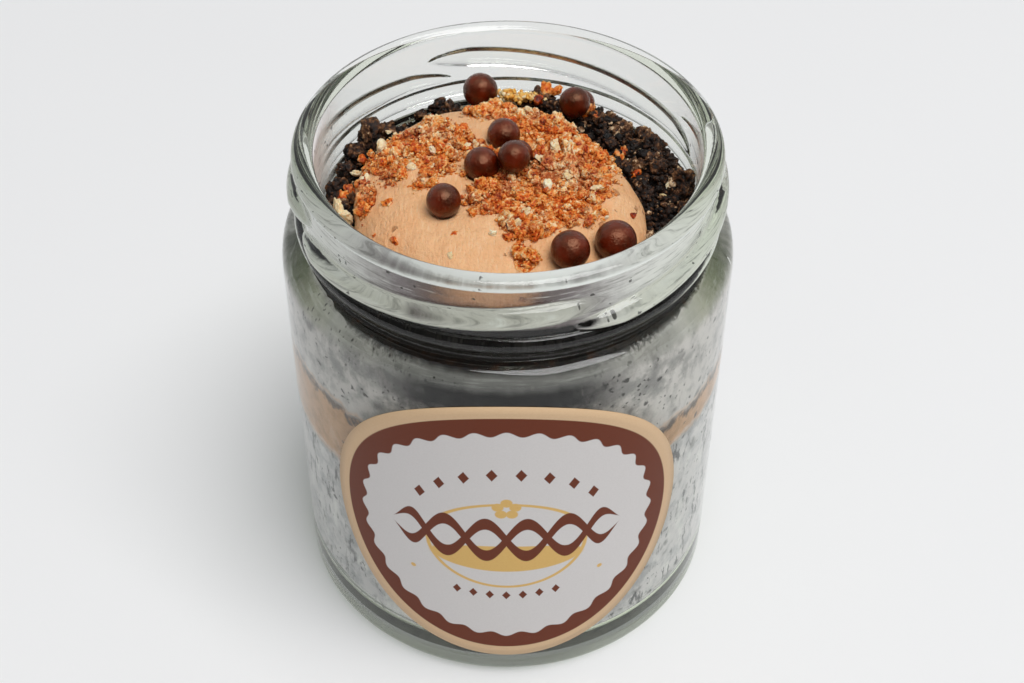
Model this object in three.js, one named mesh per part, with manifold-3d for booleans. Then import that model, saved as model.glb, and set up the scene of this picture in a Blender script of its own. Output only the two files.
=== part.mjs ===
// A layered chocolate dessert in a round glass jar, in millimetres, +Z up.
// The jar stands on z = 0 with its axis on Z, and its round label faces -Y.
// An azimuth goes round +Z in degrees, from 0 at the front (-Y) to 90 at +X.
import * as THREE from 'three';
import { mergeVertices } from 'three/addons/utils/BufferGeometryUtils.js';
import Module from 'manifold-3d';

const wasm = await Module();
wasm.setup();

const { clamp, degToRad, euclideanModulo, lerp, radToDeg } = THREE.MathUtils;

// Clearance between pieces that touch in the real thing
const gap = 0.3;
const mergeTolerance = 1e-4;

// Glass jar: outer form
const bodyRadius = 36;
const jarHeight = 88;
const heelRadius = 2.8;
const pushUp = 1;
const pushUpRadius = 25;
const standRadius = 27.5;
const shoulderHeight = 66.5;
const neckHeight = 73;
const grooveRadius = 32.1;
const beadRadius = 33.4;
const beadLow = 74.2;
const beadHigh = 77.1;
const neckRadius = 32.3;
const lipRadius = 32.7;
const lipLow = 86.1;
const lipMiddle = 86.7;
const jarSegments = 48;

// Glass jar: inner form
const innerRadius = 33.3;
const innerNeckRadius = 29.7;
const innerShoulderHeight = 66;
const innerNeckHeight = 74;
const floorHeight = 5;
const innerHeelRadius = 3.5;

// Four thread lugs, each rising along its length and overlapping the next
const lugCount = 4;
const lugStart = 18;
const lugSpan = 97;
const lugLowHeight = 77.9;
const lugRise = 4.2;
const lugDepth = 1.8;
const lugHalfHeight = 1.9;
const lugTaper = 0.13;
const lugSteps = 12;
const lugSides = 6;

// Round paper label
const labelRadius = 30.5;
const labelHeight = 36.3;
const labelClearance = 0.15;
const labelThickness = 0.15;
const labelStrips = 24;

// Fillings, from the floor up
const layerSegments = 40;
const middleShare = 0.55;
const middleBend = 0.3;
const lowerCreamTop = 43.1;
const tanCreamTop = 52.6;
const crumbLayerLow = 69.3;
const crumbDip = 6.5;
const crumbDipWidth = 27;
const heapHeight = 73.7;
const heapRise = 1.6;
const heapSlopeWidth = 5.5;

// Scoop of cream: its reach from its own centre at eight azimuths, 45 degrees apart
const scoopCentre = new THREE.Vector2(-1, -6);
const scoopReach = [23.5, 23.3, 22.4, 22.8, 27.7, 27, 22.6, 22.3];
const scoopBase = 75;
const scoopHeight = 8.7;
const scoopFullness = 3.2;
const scoopSegments = 36;

// Chocolate balls: x, y and z of the centre, and the radius
const balls = [
  [-4.7, 24.9, 79, 2.9],
  [10.8, 20, 80.2, 2.55],
  [12, 23.8, 77.2, 2.35],
  [-0.7, 5.6, 84.5, 2.6],
  [0.9, -3.2, 87.1, 2.45],
  [1.5, 0.9, 84.2, 2.35],
  [-4, -2.5, 85, 2.7],
  [-9.5, -11.4, 85.2, 2.6],
  [9.1, -20.9, 83.9, 2.9],
  [15.9, -17.6, 82.8, 3.1],
];
const ballColumns = 12;
const ballRows = 6;

// Patches of biscuit crumbs on the scoop: x, y, half width, half depth and count
const biscuitPatches = [
  [-13, 1.5, 8, 9, 22],
  [6.5, -4.5, 11, 10.5, 33],
  [0, 12.5, 7, 3.5, 6],
  [2.5, -21.5, 2, 3, 3],
];
const biscuitSizes = [0.8, 1.4];

// Dark crumbs in the ring between scoop and glass, and one pale chunk among them
const darkCrumbCount = 48;
const darkCrumbSizes = [1.5, 2.5];
const darkCrumbOuter = 27.6;
const heapSegments = 48;
const heapRings = [28.2, 25.9, 23.4, 20.5];
const heapRoughness = 1.4;
const paleChunk = [-26.2, -4.4, 76.4, 1.8];

const fullTurn = 2 * Math.PI;

// Turn in radians from one scattered crumb to the next, so that they spread evenly
const crumbTurn = 2.4;

// Numbers from 0 to 1 that are the same at every run
function makeRandom(seed) {
  let state = seed;
  return () => {
    state = (state + 0x6d2b79f5) | 0;
    let mixed = Math.imul(state ^ (state >>> 15), 1 | state);
    mixed = (mixed + Math.imul(mixed ^ (mixed >>> 7), 61 | mixed)) ^ mixed;
    return ((mixed ^ (mixed >>> 14)) >>> 0) / 4294967296;
  };
}

function between(random, low, high) {
  return low + (high - low) * random();
}

// A value from 0 to 1 that jumps from place to place, for a crumbly surface
function roughAt(x, y) {
  const wave = Math.sin(x * 12.9898 + y * 78.233) * 43758.5453;
  return wave - Math.floor(wave);
}

// A closed solid from a geometry whose seams are merged and whose empty triangles are dropped
function toSolid(geometry) {
  const bare = geometry.clone();
  bare.deleteAttribute('normal');
  bare.deleteAttribute('uv');
  const merged = mergeVertices(bare, mergeTolerance);
  const corners = merged.index.array;
  const kept = [];
  for (let i = 0; i < corners.length; i += 3) {
    const [a, b, c] = corners.slice(i, i + 3);
    if (a !== b && b !== c && c !== a) {
      kept.push(a, b, c);
    }
  }
  return new wasm.Manifold(new wasm.Mesh({
    numProp: 3,
    vertProperties: Float32Array.from(merged.attributes.position.array),
    triVerts: Uint32Array.from(kept),
  }));
}

function toGeometry(solid) {
  const mesh = solid.getMesh();
  const geometry = new THREE.BufferGeometry();
  geometry.setAttribute('position', new THREE.Float32BufferAttribute(mesh.vertProperties, 3));
  geometry.setIndex([...mesh.triVerts]);
  geometry.computeVertexNormals();
  return geometry;
}

// The largest piece of a solid, without loose scraps and sealed hollows
function largest(solid) {
  return solid.decompose().reduce((best, piece) => (piece.volume() > best.volume() ? piece : best));
}

function fuse(core, pieces) {
  return largest(pieces.reduce((whole, piece) => whole.add(piece), core));
}

// Points on an ellipse's arc, from one angle to another in degrees, in the (radius, height) plane
function arc(radius, height, halfWidth, halfHeight, start, end, steps) {
  const points = [];
  for (let step = 0; step <= steps; step += 1) {
    const angle = degToRad(lerp(start, end, step / steps));
    points.push(new THREE.Vector2(
      radius + halfWidth * Math.cos(angle),
      height + halfHeight * Math.sin(angle),
    ));
  }
  return points;
}

// The glass's inner radius at a height: body, S-shaped shoulder, straight neck
function innerRadiusAt(height) {
  const rise = (height - innerShoulderHeight) / (innerNeckHeight - innerShoulderHeight);
  const swing = (1 + Math.cos(Math.PI * clamp(rise, 0, 1))) / 2;
  const above = innerNeckRadius + (innerRadius - innerNeckRadius) * swing;
  const sink = Math.max(0, floorHeight + innerHeelRadius - height);
  return above - innerHeelRadius + Math.sqrt(Math.max(0, innerHeelRadius ** 2 - sink ** 2));
}

function fillingRadiusAt(height) {
  return innerRadiusAt(height) - gap;
}

// A lathe turned so that its axis is Z and its first column faces -Y
function turned(profile, segments) {
  return toSolid(new THREE.LatheGeometry(profile, segments).rotateX(Math.PI / 2));
}

// Rings round an upright axis, from pole to pole, each giving radius and height at an azimuth
function ringed(rings, segments, centre = new THREE.Vector2()) {
  const blank = rings.map((ring, row) => new THREE.Vector2(1, row));
  const geometry = new THREE.LatheGeometry(blank, segments);
  const places = geometry.attributes.position;
  for (let column = 0; column <= segments; column += 1) {
    const azimuth = ((column % segments) * fullTurn) / segments;
    rings.forEach((ring, row) => {
      const [radius, height] = ring(azimuth);
      places.setXYZ(
        column * rings.length + row,
        centre.x + radius * Math.sin(azimuth),
        centre.y - radius * Math.cos(azimuth),
        height,
      );
    });
  }
  return toSolid(geometry);
}

function makeLug(index) {
  const geometry = new THREE.CylinderGeometry(1, 1, 1, lugSides, lugSteps);
  const places = geometry.attributes.position;
  const start = lugStart + index * (360 / lugCount);
  for (let i = 0; i < places.count; i += 1) {
    const along = places.getY(i) + 0.5;
    const nearEnd = Math.min(along, 1 - along) / lugTaper;
    const size = Math.sqrt(Math.min(1, nearEnd + 0.02));
    const azimuth = degToRad(start + lugSpan * along);
    const radius = neckRadius + places.getZ(i) * lugDepth * size;
    const height = lugLowHeight + lugRise * along - places.getX(i) * lugHalfHeight * size;
    places.setXYZ(i, radius * Math.sin(azimuth), -radius * Math.cos(azimuth), height);
  }
  return toSolid(geometry);
}

function makeJar() {
  const base = [
    new THREE.Vector2(0, pushUp),
    new THREE.Vector2(pushUpRadius, pushUp * 0.7),
    new THREE.Vector2(standRadius, 0),
  ];
  const heel = arc(bodyRadius - heelRadius, heelRadius, heelRadius, heelRadius, -90, 0, 3);
  const shoulderWidth = bodyRadius - grooveRadius;
  const shoulder = arc(grooveRadius, shoulderHeight, shoulderWidth, neckHeight - shoulderHeight, 0, 84, 4);
  const beadMiddle = (beadLow + beadHigh) / 2;
  const beadHalf = (beadHigh - beadLow) / 2;
  const bead = arc(grooveRadius, beadMiddle, beadRadius - grooveRadius, beadHalf, -90, 80, 4);
  const lipWidth = (lipRadius - innerNeckRadius) / 2;
  const lip = arc(innerNeckRadius + lipWidth, lipMiddle, lipWidth, jarHeight - lipMiddle, 0, 180, 6);
  const innerHeights = [innerNeckHeight, 71.4, 70, 68.6, innerShoulderHeight];
  const innerShoulder = innerHeights.map((height) => new THREE.Vector2(innerRadiusAt(height), height));
  const innerHeel = arc(
    innerRadius - innerHeelRadius,
    floorHeight + innerHeelRadius,
    innerHeelRadius,
    innerHeelRadius,
    0,
    -90,
    2,
  );
  const profile = [
    ...base,
    ...heel,
    ...shoulder,
    ...bead,
    new THREE.Vector2(neckRadius, lipLow),
    ...lip,
    ...innerShoulder,
    ...innerHeel,
    new THREE.Vector2(0, floorHeight),
  ];
  const lugs = Array.from({ length: lugCount }, (_, index) => makeLug(index));
  return fuse(turned(profile, jarSegments), lugs);
}

// A disc of upright strips, bent round the glass
function makeLabel() {
  const geometry = new THREE.BoxGeometry(2, 2, 1, labelStrips, 1, 1);
  const places = geometry.attributes.position;
  const endCut = 0.99;
  for (let i = 0; i < places.count; i += 1) {
    const turn = (places.getX(i) * endCut * Math.PI) / 2;
    const azimuth = (labelRadius * Math.sin(turn)) / bodyRadius;
    const height = labelHeight + places.getY(i) * labelRadius * Math.cos(turn);
    const depth = labelClearance + labelThickness * (places.getZ(i) + 0.5);
    const radius = bodyRadius + depth;
    places.setXYZ(i, radius * Math.sin(azimuth), -radius * Math.cos(azimuth), height);
  }
  return toSolid(geometry);
}

// Heights of the uneven borders between the fillings at the glass
function lowerBorder(azimuth) {
  return lowerCreamTop + 2.9 * Math.sin(azimuth) + 0.6 * Math.sin(3 * azimuth + 1);
}

function upperBorder(azimuth) {
  return tanCreamTop - 1.3 * Math.sin(azimuth) + 0.5 * Math.sin(5 * azimuth);
}

function crumbBorder(azimuth) {
  const turn = euclideanModulo(radToDeg(azimuth) + 180, 360) - 180;
  return crumbLayerLow - crumbDip * Math.exp(-((turn / crumbDipWidth) ** 2)) + 0.3 * Math.sin(4 * azimuth);
}

// Height of the dark crumbs' heap, which rises from the glass towards the scoop
function heapSlope(radius, azimuth) {
  const rise = heapRise * Math.min(1, (innerNeckRadius - radius) / heapSlopeWidth);
  return heapHeight + 0.6 * Math.sin(azimuth) + 0.3 * Math.cos(3 * azimuth) + rise;
}

function heapRim(azimuth) {
  return heapSlope(innerNeckRadius, azimuth);
}

function heapTop(radius, azimuth) {
  const rough = roughAt(radius * Math.sin(azimuth), radius * Math.cos(azimuth));
  return heapSlope(radius, azimuth) + heapRoughness * (rough - 0.35);
}

// A filling between two borders; its middle lies at the borders' mean heights
function makeLayer(lowBorder, highBorder, lowMiddle, highMiddle, wallSteps) {
  const low = (azimuth) => lowBorder(azimuth) + gap / 2;
  const high = (azimuth) => highBorder(azimuth) - gap / 2;
  const rings = [
    () => [0, lowMiddle + gap / 2],
    (azimuth) => [innerRadius * middleShare, lerp(lowMiddle + gap / 2, low(azimuth), middleBend)],
  ];
  for (let step = 0; step <= wallSteps; step += 1) {
    rings.push((azimuth) => {
      const height = lerp(low(azimuth), high(azimuth), step / wallSteps);
      return [fillingRadiusAt(height), height];
    });
  }
  rings.push(
    (azimuth) => [innerRadius * middleShare, lerp(highMiddle - gap / 2, high(azimuth), middleBend)],
    () => [0, highMiddle - gap / 2],
  );
  return ringed(rings, layerSegments);
}

function makeLowerCream() {
  const bottom = floorHeight + gap;
  const heelTop = floorHeight + innerHeelRadius;
  const high = (azimuth) => lowerBorder(azimuth) - gap / 2;
  const rings = [
    () => [0, bottom],
    () => [fillingRadiusAt(floorHeight) - 0.4, bottom],
    () => [fillingRadiusAt(floorHeight + 1) - 0.4, floorHeight + 1],
    () => [fillingRadiusAt(heelTop), heelTop + gap],
    (azimuth) => [fillingRadiusAt(heelTop), high(azimuth)],
    (azimuth) => [innerRadius * middleShare, lerp(lowerCreamTop - gap / 2, high(azimuth), middleBend)],
    () => [0, lowerCreamTop - gap / 2],
  ];
  return ringed(rings, layerSegments);
}

// The scoop's reach from its centre at an azimuth, smooth through its eight values
function reachAt(azimuth) {
  const place = (azimuth / fullTurn) * scoopReach.length;
  const first = Math.floor(place);
  const [a, b, c, d] = [-1, 0, 1, 2].map((step) => scoopReach[(first + step + 8) % scoopReach.length]);
  const t = place - first;
  const slope = (c - a) * t;
  const bend = (2 * a - 5 * b + 4 * c - d) * t ** 2;
  const twist = (3 * b - a - 3 * c + d) * t ** 3;
  return 0.5 * (2 * b + slope + bend + twist);
}

// How far a point is from the scoop's centre, as a share of the reach there
function scoopShare(x, y) {
  const across = x - scoopCentre.x;
  const back = y - scoopCentre.y;
  const azimuth = euclideanModulo(Math.atan2(across, -back), fullTurn);
  return Math.hypot(across, back) / reachAt(azimuth);
}

function scoopTop(share) {
  return scoopBase + scoopHeight * Math.sqrt(Math.max(0, 1 - share ** scoopFullness));
}

// The bare scoop, grown by a margin where room is cut for it
function makeScoopCore(margin = 0) {
  const shares = [1, 0.985, 0.95, 0.87, 0.72, 0.5, 0.25];
  const rings = [
    () => [0, scoopBase - margin],
    ...shares.map((share) => (azimuth) => [
      reachAt(azimuth) * share + margin,
      scoopTop(share) + (share < 1 ? margin : -margin),
    ]),
    () => [0, scoopTop(0) + margin],
  ];
  return ringed(rings, scoopSegments, scoopCentre);
}

// The space inside the neck that fillings and toppings may take
function makeNeckBore() {
  const profile = [
    new THREE.Vector2(0, crumbLayerLow),
    new THREE.Vector2(innerNeckRadius - gap, crumbLayerLow),
    new THREE.Vector2(innerNeckRadius - gap, jarHeight),
    new THREE.Vector2(0, jarHeight),
  ];
  return turned(profile, jarSegments);
}

// An angular crumb: a box that is stretched, turned on edge and pushed in or out at each corner
function makeCrumb(random, x, y, z, size) {
  const side = 1.5 * size;
  const geometry = new THREE.BoxGeometry(side, side, side);
  const places = geometry.attributes.position;
  const pushes = Array.from({ length: 8 }, () => between(random, 0.7, 1.15));
  const stretch = new THREE.Vector3(1 + 0.3 * random(), 1 + 0.3 * random(), 0.75 + 0.3 * random());
  for (let i = 0; i < places.count; i += 1) {
    const corner = new THREE.Vector3().fromBufferAttribute(places, i);
    const octant = (corner.x > 0 ? 4 : 0) + (corner.y > 0 ? 2 : 0) + (corner.z > 0 ? 1 : 0);
    corner.multiplyScalar(pushes[octant]).multiply(stretch);
    places.setXYZ(i, corner.x, corner.y, corner.z);
  }
  geometry.rotateX(between(random, 0, fullTurn));
  geometry.rotateZ(between(random, 0, fullTurn));
  geometry.translate(x, y, z);
  return toSolid(geometry);
}

function makeBiscuitCrumbs() {
  const random = makeRandom(11);
  const crumbs = [];
  biscuitPatches.forEach(([x, y, halfWidth, halfDepth, count]) => {
    for (let i = 0; i < count; i += 1) {
      const spread = Math.sqrt((i + 0.5) / count);
      const turn = i * crumbTurn + between(random, -0.3, 0.3);
      const crumbX = x + halfWidth * spread * Math.cos(turn);
      const crumbY = y + halfDepth * spread * Math.sin(turn);
      const share = scoopShare(crumbX, crumbY);
      const size = between(random, ...biscuitSizes);
      if (share < 0.9) {
        crumbs.push(makeCrumb(random, crumbX, crumbY, scoopTop(share) + 0.25 * size, size));
      }
    }
  });
  return crumbs;
}

function makeBall([x, y, z, radius], margin = 0) {
  const geometry = new THREE.SphereGeometry(radius + margin, ballColumns, ballRows);
  geometry.rotateX(Math.PI / 2);
  geometry.translate(x, y, z);
  return toSolid(geometry);
}

function cutCups(solid) {
  const cups = balls.map((ball) => makeBall(ball, gap));
  return largest(cups.reduce((rest, cup) => rest.subtract(cup), solid));
}

function makeScoop() {
  const whole = fuse(makeScoopCore(), makeBiscuitCrumbs());
  return cutCups(whole.intersect(makeNeckBore()));
}

function makeDarkCrumbs() {
  const random = makeRandom(5);
  const middle = crumbLayerLow - 1;
  const core = ringed([
    () => [0, middle + gap / 2],
    (azimuth) => [innerRadius * middleShare, lerp(middle, crumbBorder(azimuth), middleBend) + gap / 2],
    ...[0, 0.35, 0.7].map((rise) => (azimuth) => {
      const height = lerp(crumbBorder(azimuth) + gap / 2, heapRim(azimuth), rise);
      return [fillingRadiusAt(height), height];
    }),
    (azimuth) => [innerNeckRadius - gap, heapRim(azimuth)],
    ...heapRings.map((radius) => (azimuth) => [radius, heapTop(radius, azimuth)]),
    () => [0, heapHeight + heapRise],
  ], heapSegments);
  const crumbs = [];
  for (let i = 0; i < darkCrumbCount; i += 1) {
    const azimuth = euclideanModulo(i * crumbTurn, fullTurn);
    const reach = between(random, 0, 1);
    const size = between(random, ...darkCrumbSizes);
    const direction = new THREE.Vector2(Math.sin(azimuth), -Math.cos(azimuth));
    const inner = reachAt(azimuth) * 0.97;
    const start = scoopCentre.clone().addScaledVector(direction, inner);
    const end = direction.clone().multiplyScalar(darkCrumbOuter);
    const place = start.lerp(end, reach);
    const lift = between(random, 0.2, 1) * size;
    crumbs.push(makeCrumb(random, place.x, place.y, heapSlope(place.length(), azimuth) + lift, size));
  }
  const [x, y, z, size] = paleChunk;
  crumbs.push(makeCrumb(random, x, y, z, size));
  const neckBore = makeNeckBore();
  const whole = fuse(core, crumbs.map((crumb) => crumb.intersect(neckBore)));
  return cutCups(whole.subtract(makeScoopCore(gap)));
}

function addPiece(group, name, solid, colour, roughness, options = {}) {
  const material = new THREE.MeshStandardMaterial({ color: colour, roughness, metalness: 0, ...options });
  const mesh = new THREE.Mesh(toGeometry(solid), material);
  mesh.name = name;
  group.add(mesh);
}

const dessertJar = new THREE.Group();
dessertJar.name = 'dessert_jar';
const seeThrough = { transparent: true, opacity: 0.35 };
addPiece(dessertJar, 'glass_jar', makeJar(), 0xdfe6df, 0.05, seeThrough);
addPiece(dessertJar, 'label', makeLabel(), 0xc9a886, 0.6);
addPiece(dessertJar, 'lower_cream', makeLowerCream(), 0xb8baba, 0.6);
const tanCream = makeLayer(lowerBorder, upperBorder, lowerCreamTop, tanCreamTop, 1);
addPiece(dessertJar, 'tan_cream', tanCream, 0xbb9d82, 0.6);
const upperCream = makeLayer(upperBorder, crumbBorder, tanCreamTop, crumbLayerLow - 1, 3);
addPiece(dessertJar, 'upper_cream', upperCream, 0xa4a4a0, 0.6);
addPiece(dessertJar, 'dark_crumbs', makeDarkCrumbs(), 0x2a1c16, 0.9);
addPiece(dessertJar, 'cream_scoop', makeScoop(), 0xe2aa76, 0.6);
balls.forEach((ball, index) => {
  addPiece(dessertJar, `chocolate_ball_${index + 1}`, makeBall(ball), 0x4a2216, 0.35);
});

export default dessertJar;
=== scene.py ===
# Looks of a layered chocolate dessert in a round glass jar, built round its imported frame.
# Everything is in metres, +Z up, and the label faces -Y. An azimuth goes round +Z from the front (-Y) to +X.

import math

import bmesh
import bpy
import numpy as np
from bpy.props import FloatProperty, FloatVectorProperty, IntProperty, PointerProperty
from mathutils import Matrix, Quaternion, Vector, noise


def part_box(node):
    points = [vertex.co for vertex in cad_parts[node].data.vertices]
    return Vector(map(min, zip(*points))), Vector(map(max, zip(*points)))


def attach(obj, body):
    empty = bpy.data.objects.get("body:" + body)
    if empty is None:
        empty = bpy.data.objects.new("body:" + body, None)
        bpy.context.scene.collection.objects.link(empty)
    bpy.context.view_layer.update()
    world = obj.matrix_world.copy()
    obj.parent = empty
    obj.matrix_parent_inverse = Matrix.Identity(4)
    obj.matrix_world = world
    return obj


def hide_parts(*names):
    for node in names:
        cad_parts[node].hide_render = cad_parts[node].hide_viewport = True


bl_info = {
    "name": "Dessert Jar",
    "version": (1, 0, 0),
    "blender": (4, 5, 0),
    "location": "3D View > Sidebar > Dessert Jar",
    "description": "Builds a glass jar with a layered dessert, its toppings and a plain studio",
    "category": "Add Mesh",
}

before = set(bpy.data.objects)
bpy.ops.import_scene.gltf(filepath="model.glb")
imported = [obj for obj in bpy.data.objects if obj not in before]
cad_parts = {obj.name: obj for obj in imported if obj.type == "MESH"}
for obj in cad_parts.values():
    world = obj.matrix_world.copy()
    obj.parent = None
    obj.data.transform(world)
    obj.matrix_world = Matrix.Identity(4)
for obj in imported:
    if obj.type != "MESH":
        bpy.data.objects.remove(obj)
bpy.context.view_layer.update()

MM = 0.001
BODY = "root"
FULL_TURN = 2 * math.pi

JAR_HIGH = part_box("glass_jar")[1]
LABEL_LOW, LABEL_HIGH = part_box("label")
BALLS = sorted(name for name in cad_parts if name.startswith("chocolate_ball_"))


def ball_at(name):
    """Centre and radius of one of the frame's chocolate balls."""
    low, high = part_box(name)
    return np.array((low + high) / 2), (high.z - low.z) / 2


def colour(code):
    """The linear colour of a code such as 0xE8B080; a colour or a socket stays as it is."""
    if not isinstance(code, int):
        return code
    parts = [(code >> shift & 255) / 255 for shift in (16, 8, 0)]
    linear = [part / 12.92 if part <= 0.04045 else ((part + 0.055) / 1.055) ** 2.4 for part in parts]
    return (*linear, 1.0)


def length(name, description, default):
    return FloatProperty(name=name, description=description, default=default, unit="LENGTH", precision=4)


def angle(name, description, degrees):
    return FloatProperty(name=name, description=description, default=math.radians(degrees), subtype="ANGLE")


def number(name, description, default, unit="NONE"):
    return FloatProperty(name=name, description=description, default=default, unit=unit)


def whole(name, description, default, low, high):
    return IntProperty(name=name, description=description, default=default, min=low, max=high)


def paint(name, description, code):
    return FloatVectorProperty(
        name=name, description=description, default=colour(code), subtype="COLOR", size=4, min=0, max=1
    )


class JarSettings(bpy.types.PropertyGroup):
    """Sizes and tint of the glass jar"""

    body_radius: length("Body radius", "Outer radius of the body", JAR_HIGH.x)
    height: length("Height", "Height of the lip over the floor", JAR_HIGH.z)
    inner_radius: length("Inner radius", "Inner radius of the body", 33.3 * MM)
    inner_neck_radius: length("Inner neck radius", "Inner radius of the neck", 29.7 * MM)
    neck_radius: length("Neck radius", "Outer radius of the neck between its lugs", 32.3 * MM)
    floor_height: length("Floor height", "Height of the jar's inner floor", 5 * MM)
    lug_depth: length("Lug depth", "How far a thread lug stands out of the neck", 1.8 * MM)
    columns: whole("Columns", "Steps round the jar", 320, 48, 1024)
    tint: paint("Tint", "Colour that thick glass takes", 0xDFE6D2)


class FillingSettings(bpy.types.PropertyGroup):
    """Heights and colours of the layers"""

    lower_top: length("Lower cream top", "Mean height of the border over the lower cream", 43.1 * MM)
    tan_top: length("Tan cream top", "Mean height of the border over the tan cream", 52.6 * MM)
    crumbs_low: length("Crumb layer low", "Height of the border under the dark crumbs", 69.3 * MM)
    reach: length("Reach", "How far the fillings reach into the glass", 0.06 * MM)
    lower_colour: paint("Lower cream", "Colour of the lower cream", 0xDCD8DA)
    tan_colour: paint("Tan cream", "Colour of the tan cream", 0xCEA27A)
    upper_colour: paint("Upper cream", "Colour of the upper cream", 0xD6D0CF)
    speck_colour: paint("Specks", "Colour of the dark biscuit specks", 0x1E1B1A)


class ToppingSettings(bpy.types.PropertyGroup):
    """Sizes and colours of what lies on the layers"""

    heap_height: length("Heap height", "Mean height of the dark crumbs at the glass", 73.7 * MM)
    scoop_base: length("Scoop base", "Height at which the scoop meets the crumbs", 75 * MM)
    scoop_height: length("Scoop height", "Height of the scoop over its base", 8.7 * MM)
    scoop_colour: paint("Scoop", "Colour of the scoop of cream", 0xF2BE8C)
    scoop_shade: paint("Scoop shade", "Colour of the scoop's pits and grains", 0xC98A54)
    ball_colour: paint("Chocolate balls", "Colour of the chocolate balls", 0x601602)


class LabelSettings(bpy.types.PropertyGroup):
    """Sizes and colours of the round label"""

    radius: length("Radius", "Radius of the label along the glass", 30.5 * MM)
    ring_radius: length("Ring radius", "Outer radius of the brown ring", 28.1 * MM)
    field_radius: length("Field radius", "Mean radius of the white field", 24.6 * MM)
    scallop_depth: length("Scallop depth", "How deep the field's edge is scalloped", 1.0 * MM)
    scallops: whole("Scallops", "Scallops round the field", 32, 8, 90)
    edge_colour: paint("Edge", "Colour of the label's edge", 0xD8B791)
    ring_colour: paint("Ring", "Colour of the ring and the drawing", 0x6A2A06)
    field_colour: paint("Field", "Colour of the white field", 0xD8D4D2)
    ochre_colour: paint("Ochre", "Second colour of the drawing", 0xDDB46A)


class StageSettings(bpy.types.PropertyGroup):
    """Floor, lights and camera"""

    key_power: number("Key power", "Power of the soft key light in watts", 41.0, "POWER")
    key_size: length("Key size", "Width of the soft key light", 1.4)
    key_distance: length("Key distance", "Distance of the key light from the jar", 2.2)
    key_elevation: angle("Key elevation", "How high the key light stands", 70)
    key_azimuth: angle("Key azimuth", "How far right of the front the key light stands", 44)
    world_light: number("World light", "Strength of the even light", 0.28)
    backdrop_light: number("Backdrop light", "Brightness of the white backdrop behind the jar", 0.7)
    room_light: number("Room light", "Brightness in reflections of the room in front of the jar", 0.1)
    floor_width: length("Floor width", "Width of the square floor", 6.0)
    floor_colour: paint("Floor", "Colour of the floor", 0xF2F2F2)
    elevation: angle("Elevation", "How far the camera looks down", 44.17)
    roll: angle("Roll", "Turn of the camera about its view", 0.27)
    distance: length("Distance", "Distance of the camera from its target", 286.44 * MM)
    target_side: length("Target side", "How far right of the axis the camera aims", 0.74 * MM)
    target_height: length("Target height", "Height that the camera aims at", 45.06 * MM)
    lens: number("Lens", "Focal length in millimetres", 59.4, "CAMERA")


class Field:
    """A number that changes over a surface: sums and products of it add Math nodes."""

    def __init__(self, maker, socket):
        self.maker = maker
        self.socket = socket

    def math(self, operation, *others):
        return self.maker.math(operation, self, *others)

    def __add__(self, other):
        return self.math("ADD", other)

    def __mul__(self, other):
        return self.math("MULTIPLY", other)

    def __sub__(self, other):
        return self.math("SUBTRACT", other)

    def __truediv__(self, other):
        return self.math("DIVIDE", other)

    def __rsub__(self, other):
        return self.maker.math("SUBTRACT", other, self)

    def __neg__(self):
        return self.math("MULTIPLY", -1)

    __radd__ = __add__
    __rmul__ = __mul__

    def sin(self):
        return self.math("SINE")

    def size(self):
        return self.math("ABSOLUTE")

    def root(self):
        return self.math("SQRT")

    def least(self, other):
        return self.math("MINIMUM", other)

    def most(self, other):
        return self.math("MAXIMUM", other)

    def clipped(self):
        return self.most(0).least(1)

    def rise(self, low, high):
        """0 below low, 1 above high and smooth between them; high may be the smaller one."""
        node = self.maker.node(
            "ShaderNodeMapRange", {"interpolation_type": "SMOOTHSTEP"}, {"Value": self, 1: low, 2: high}
        )
        return Field(self.maker, node.outputs[0])


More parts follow.
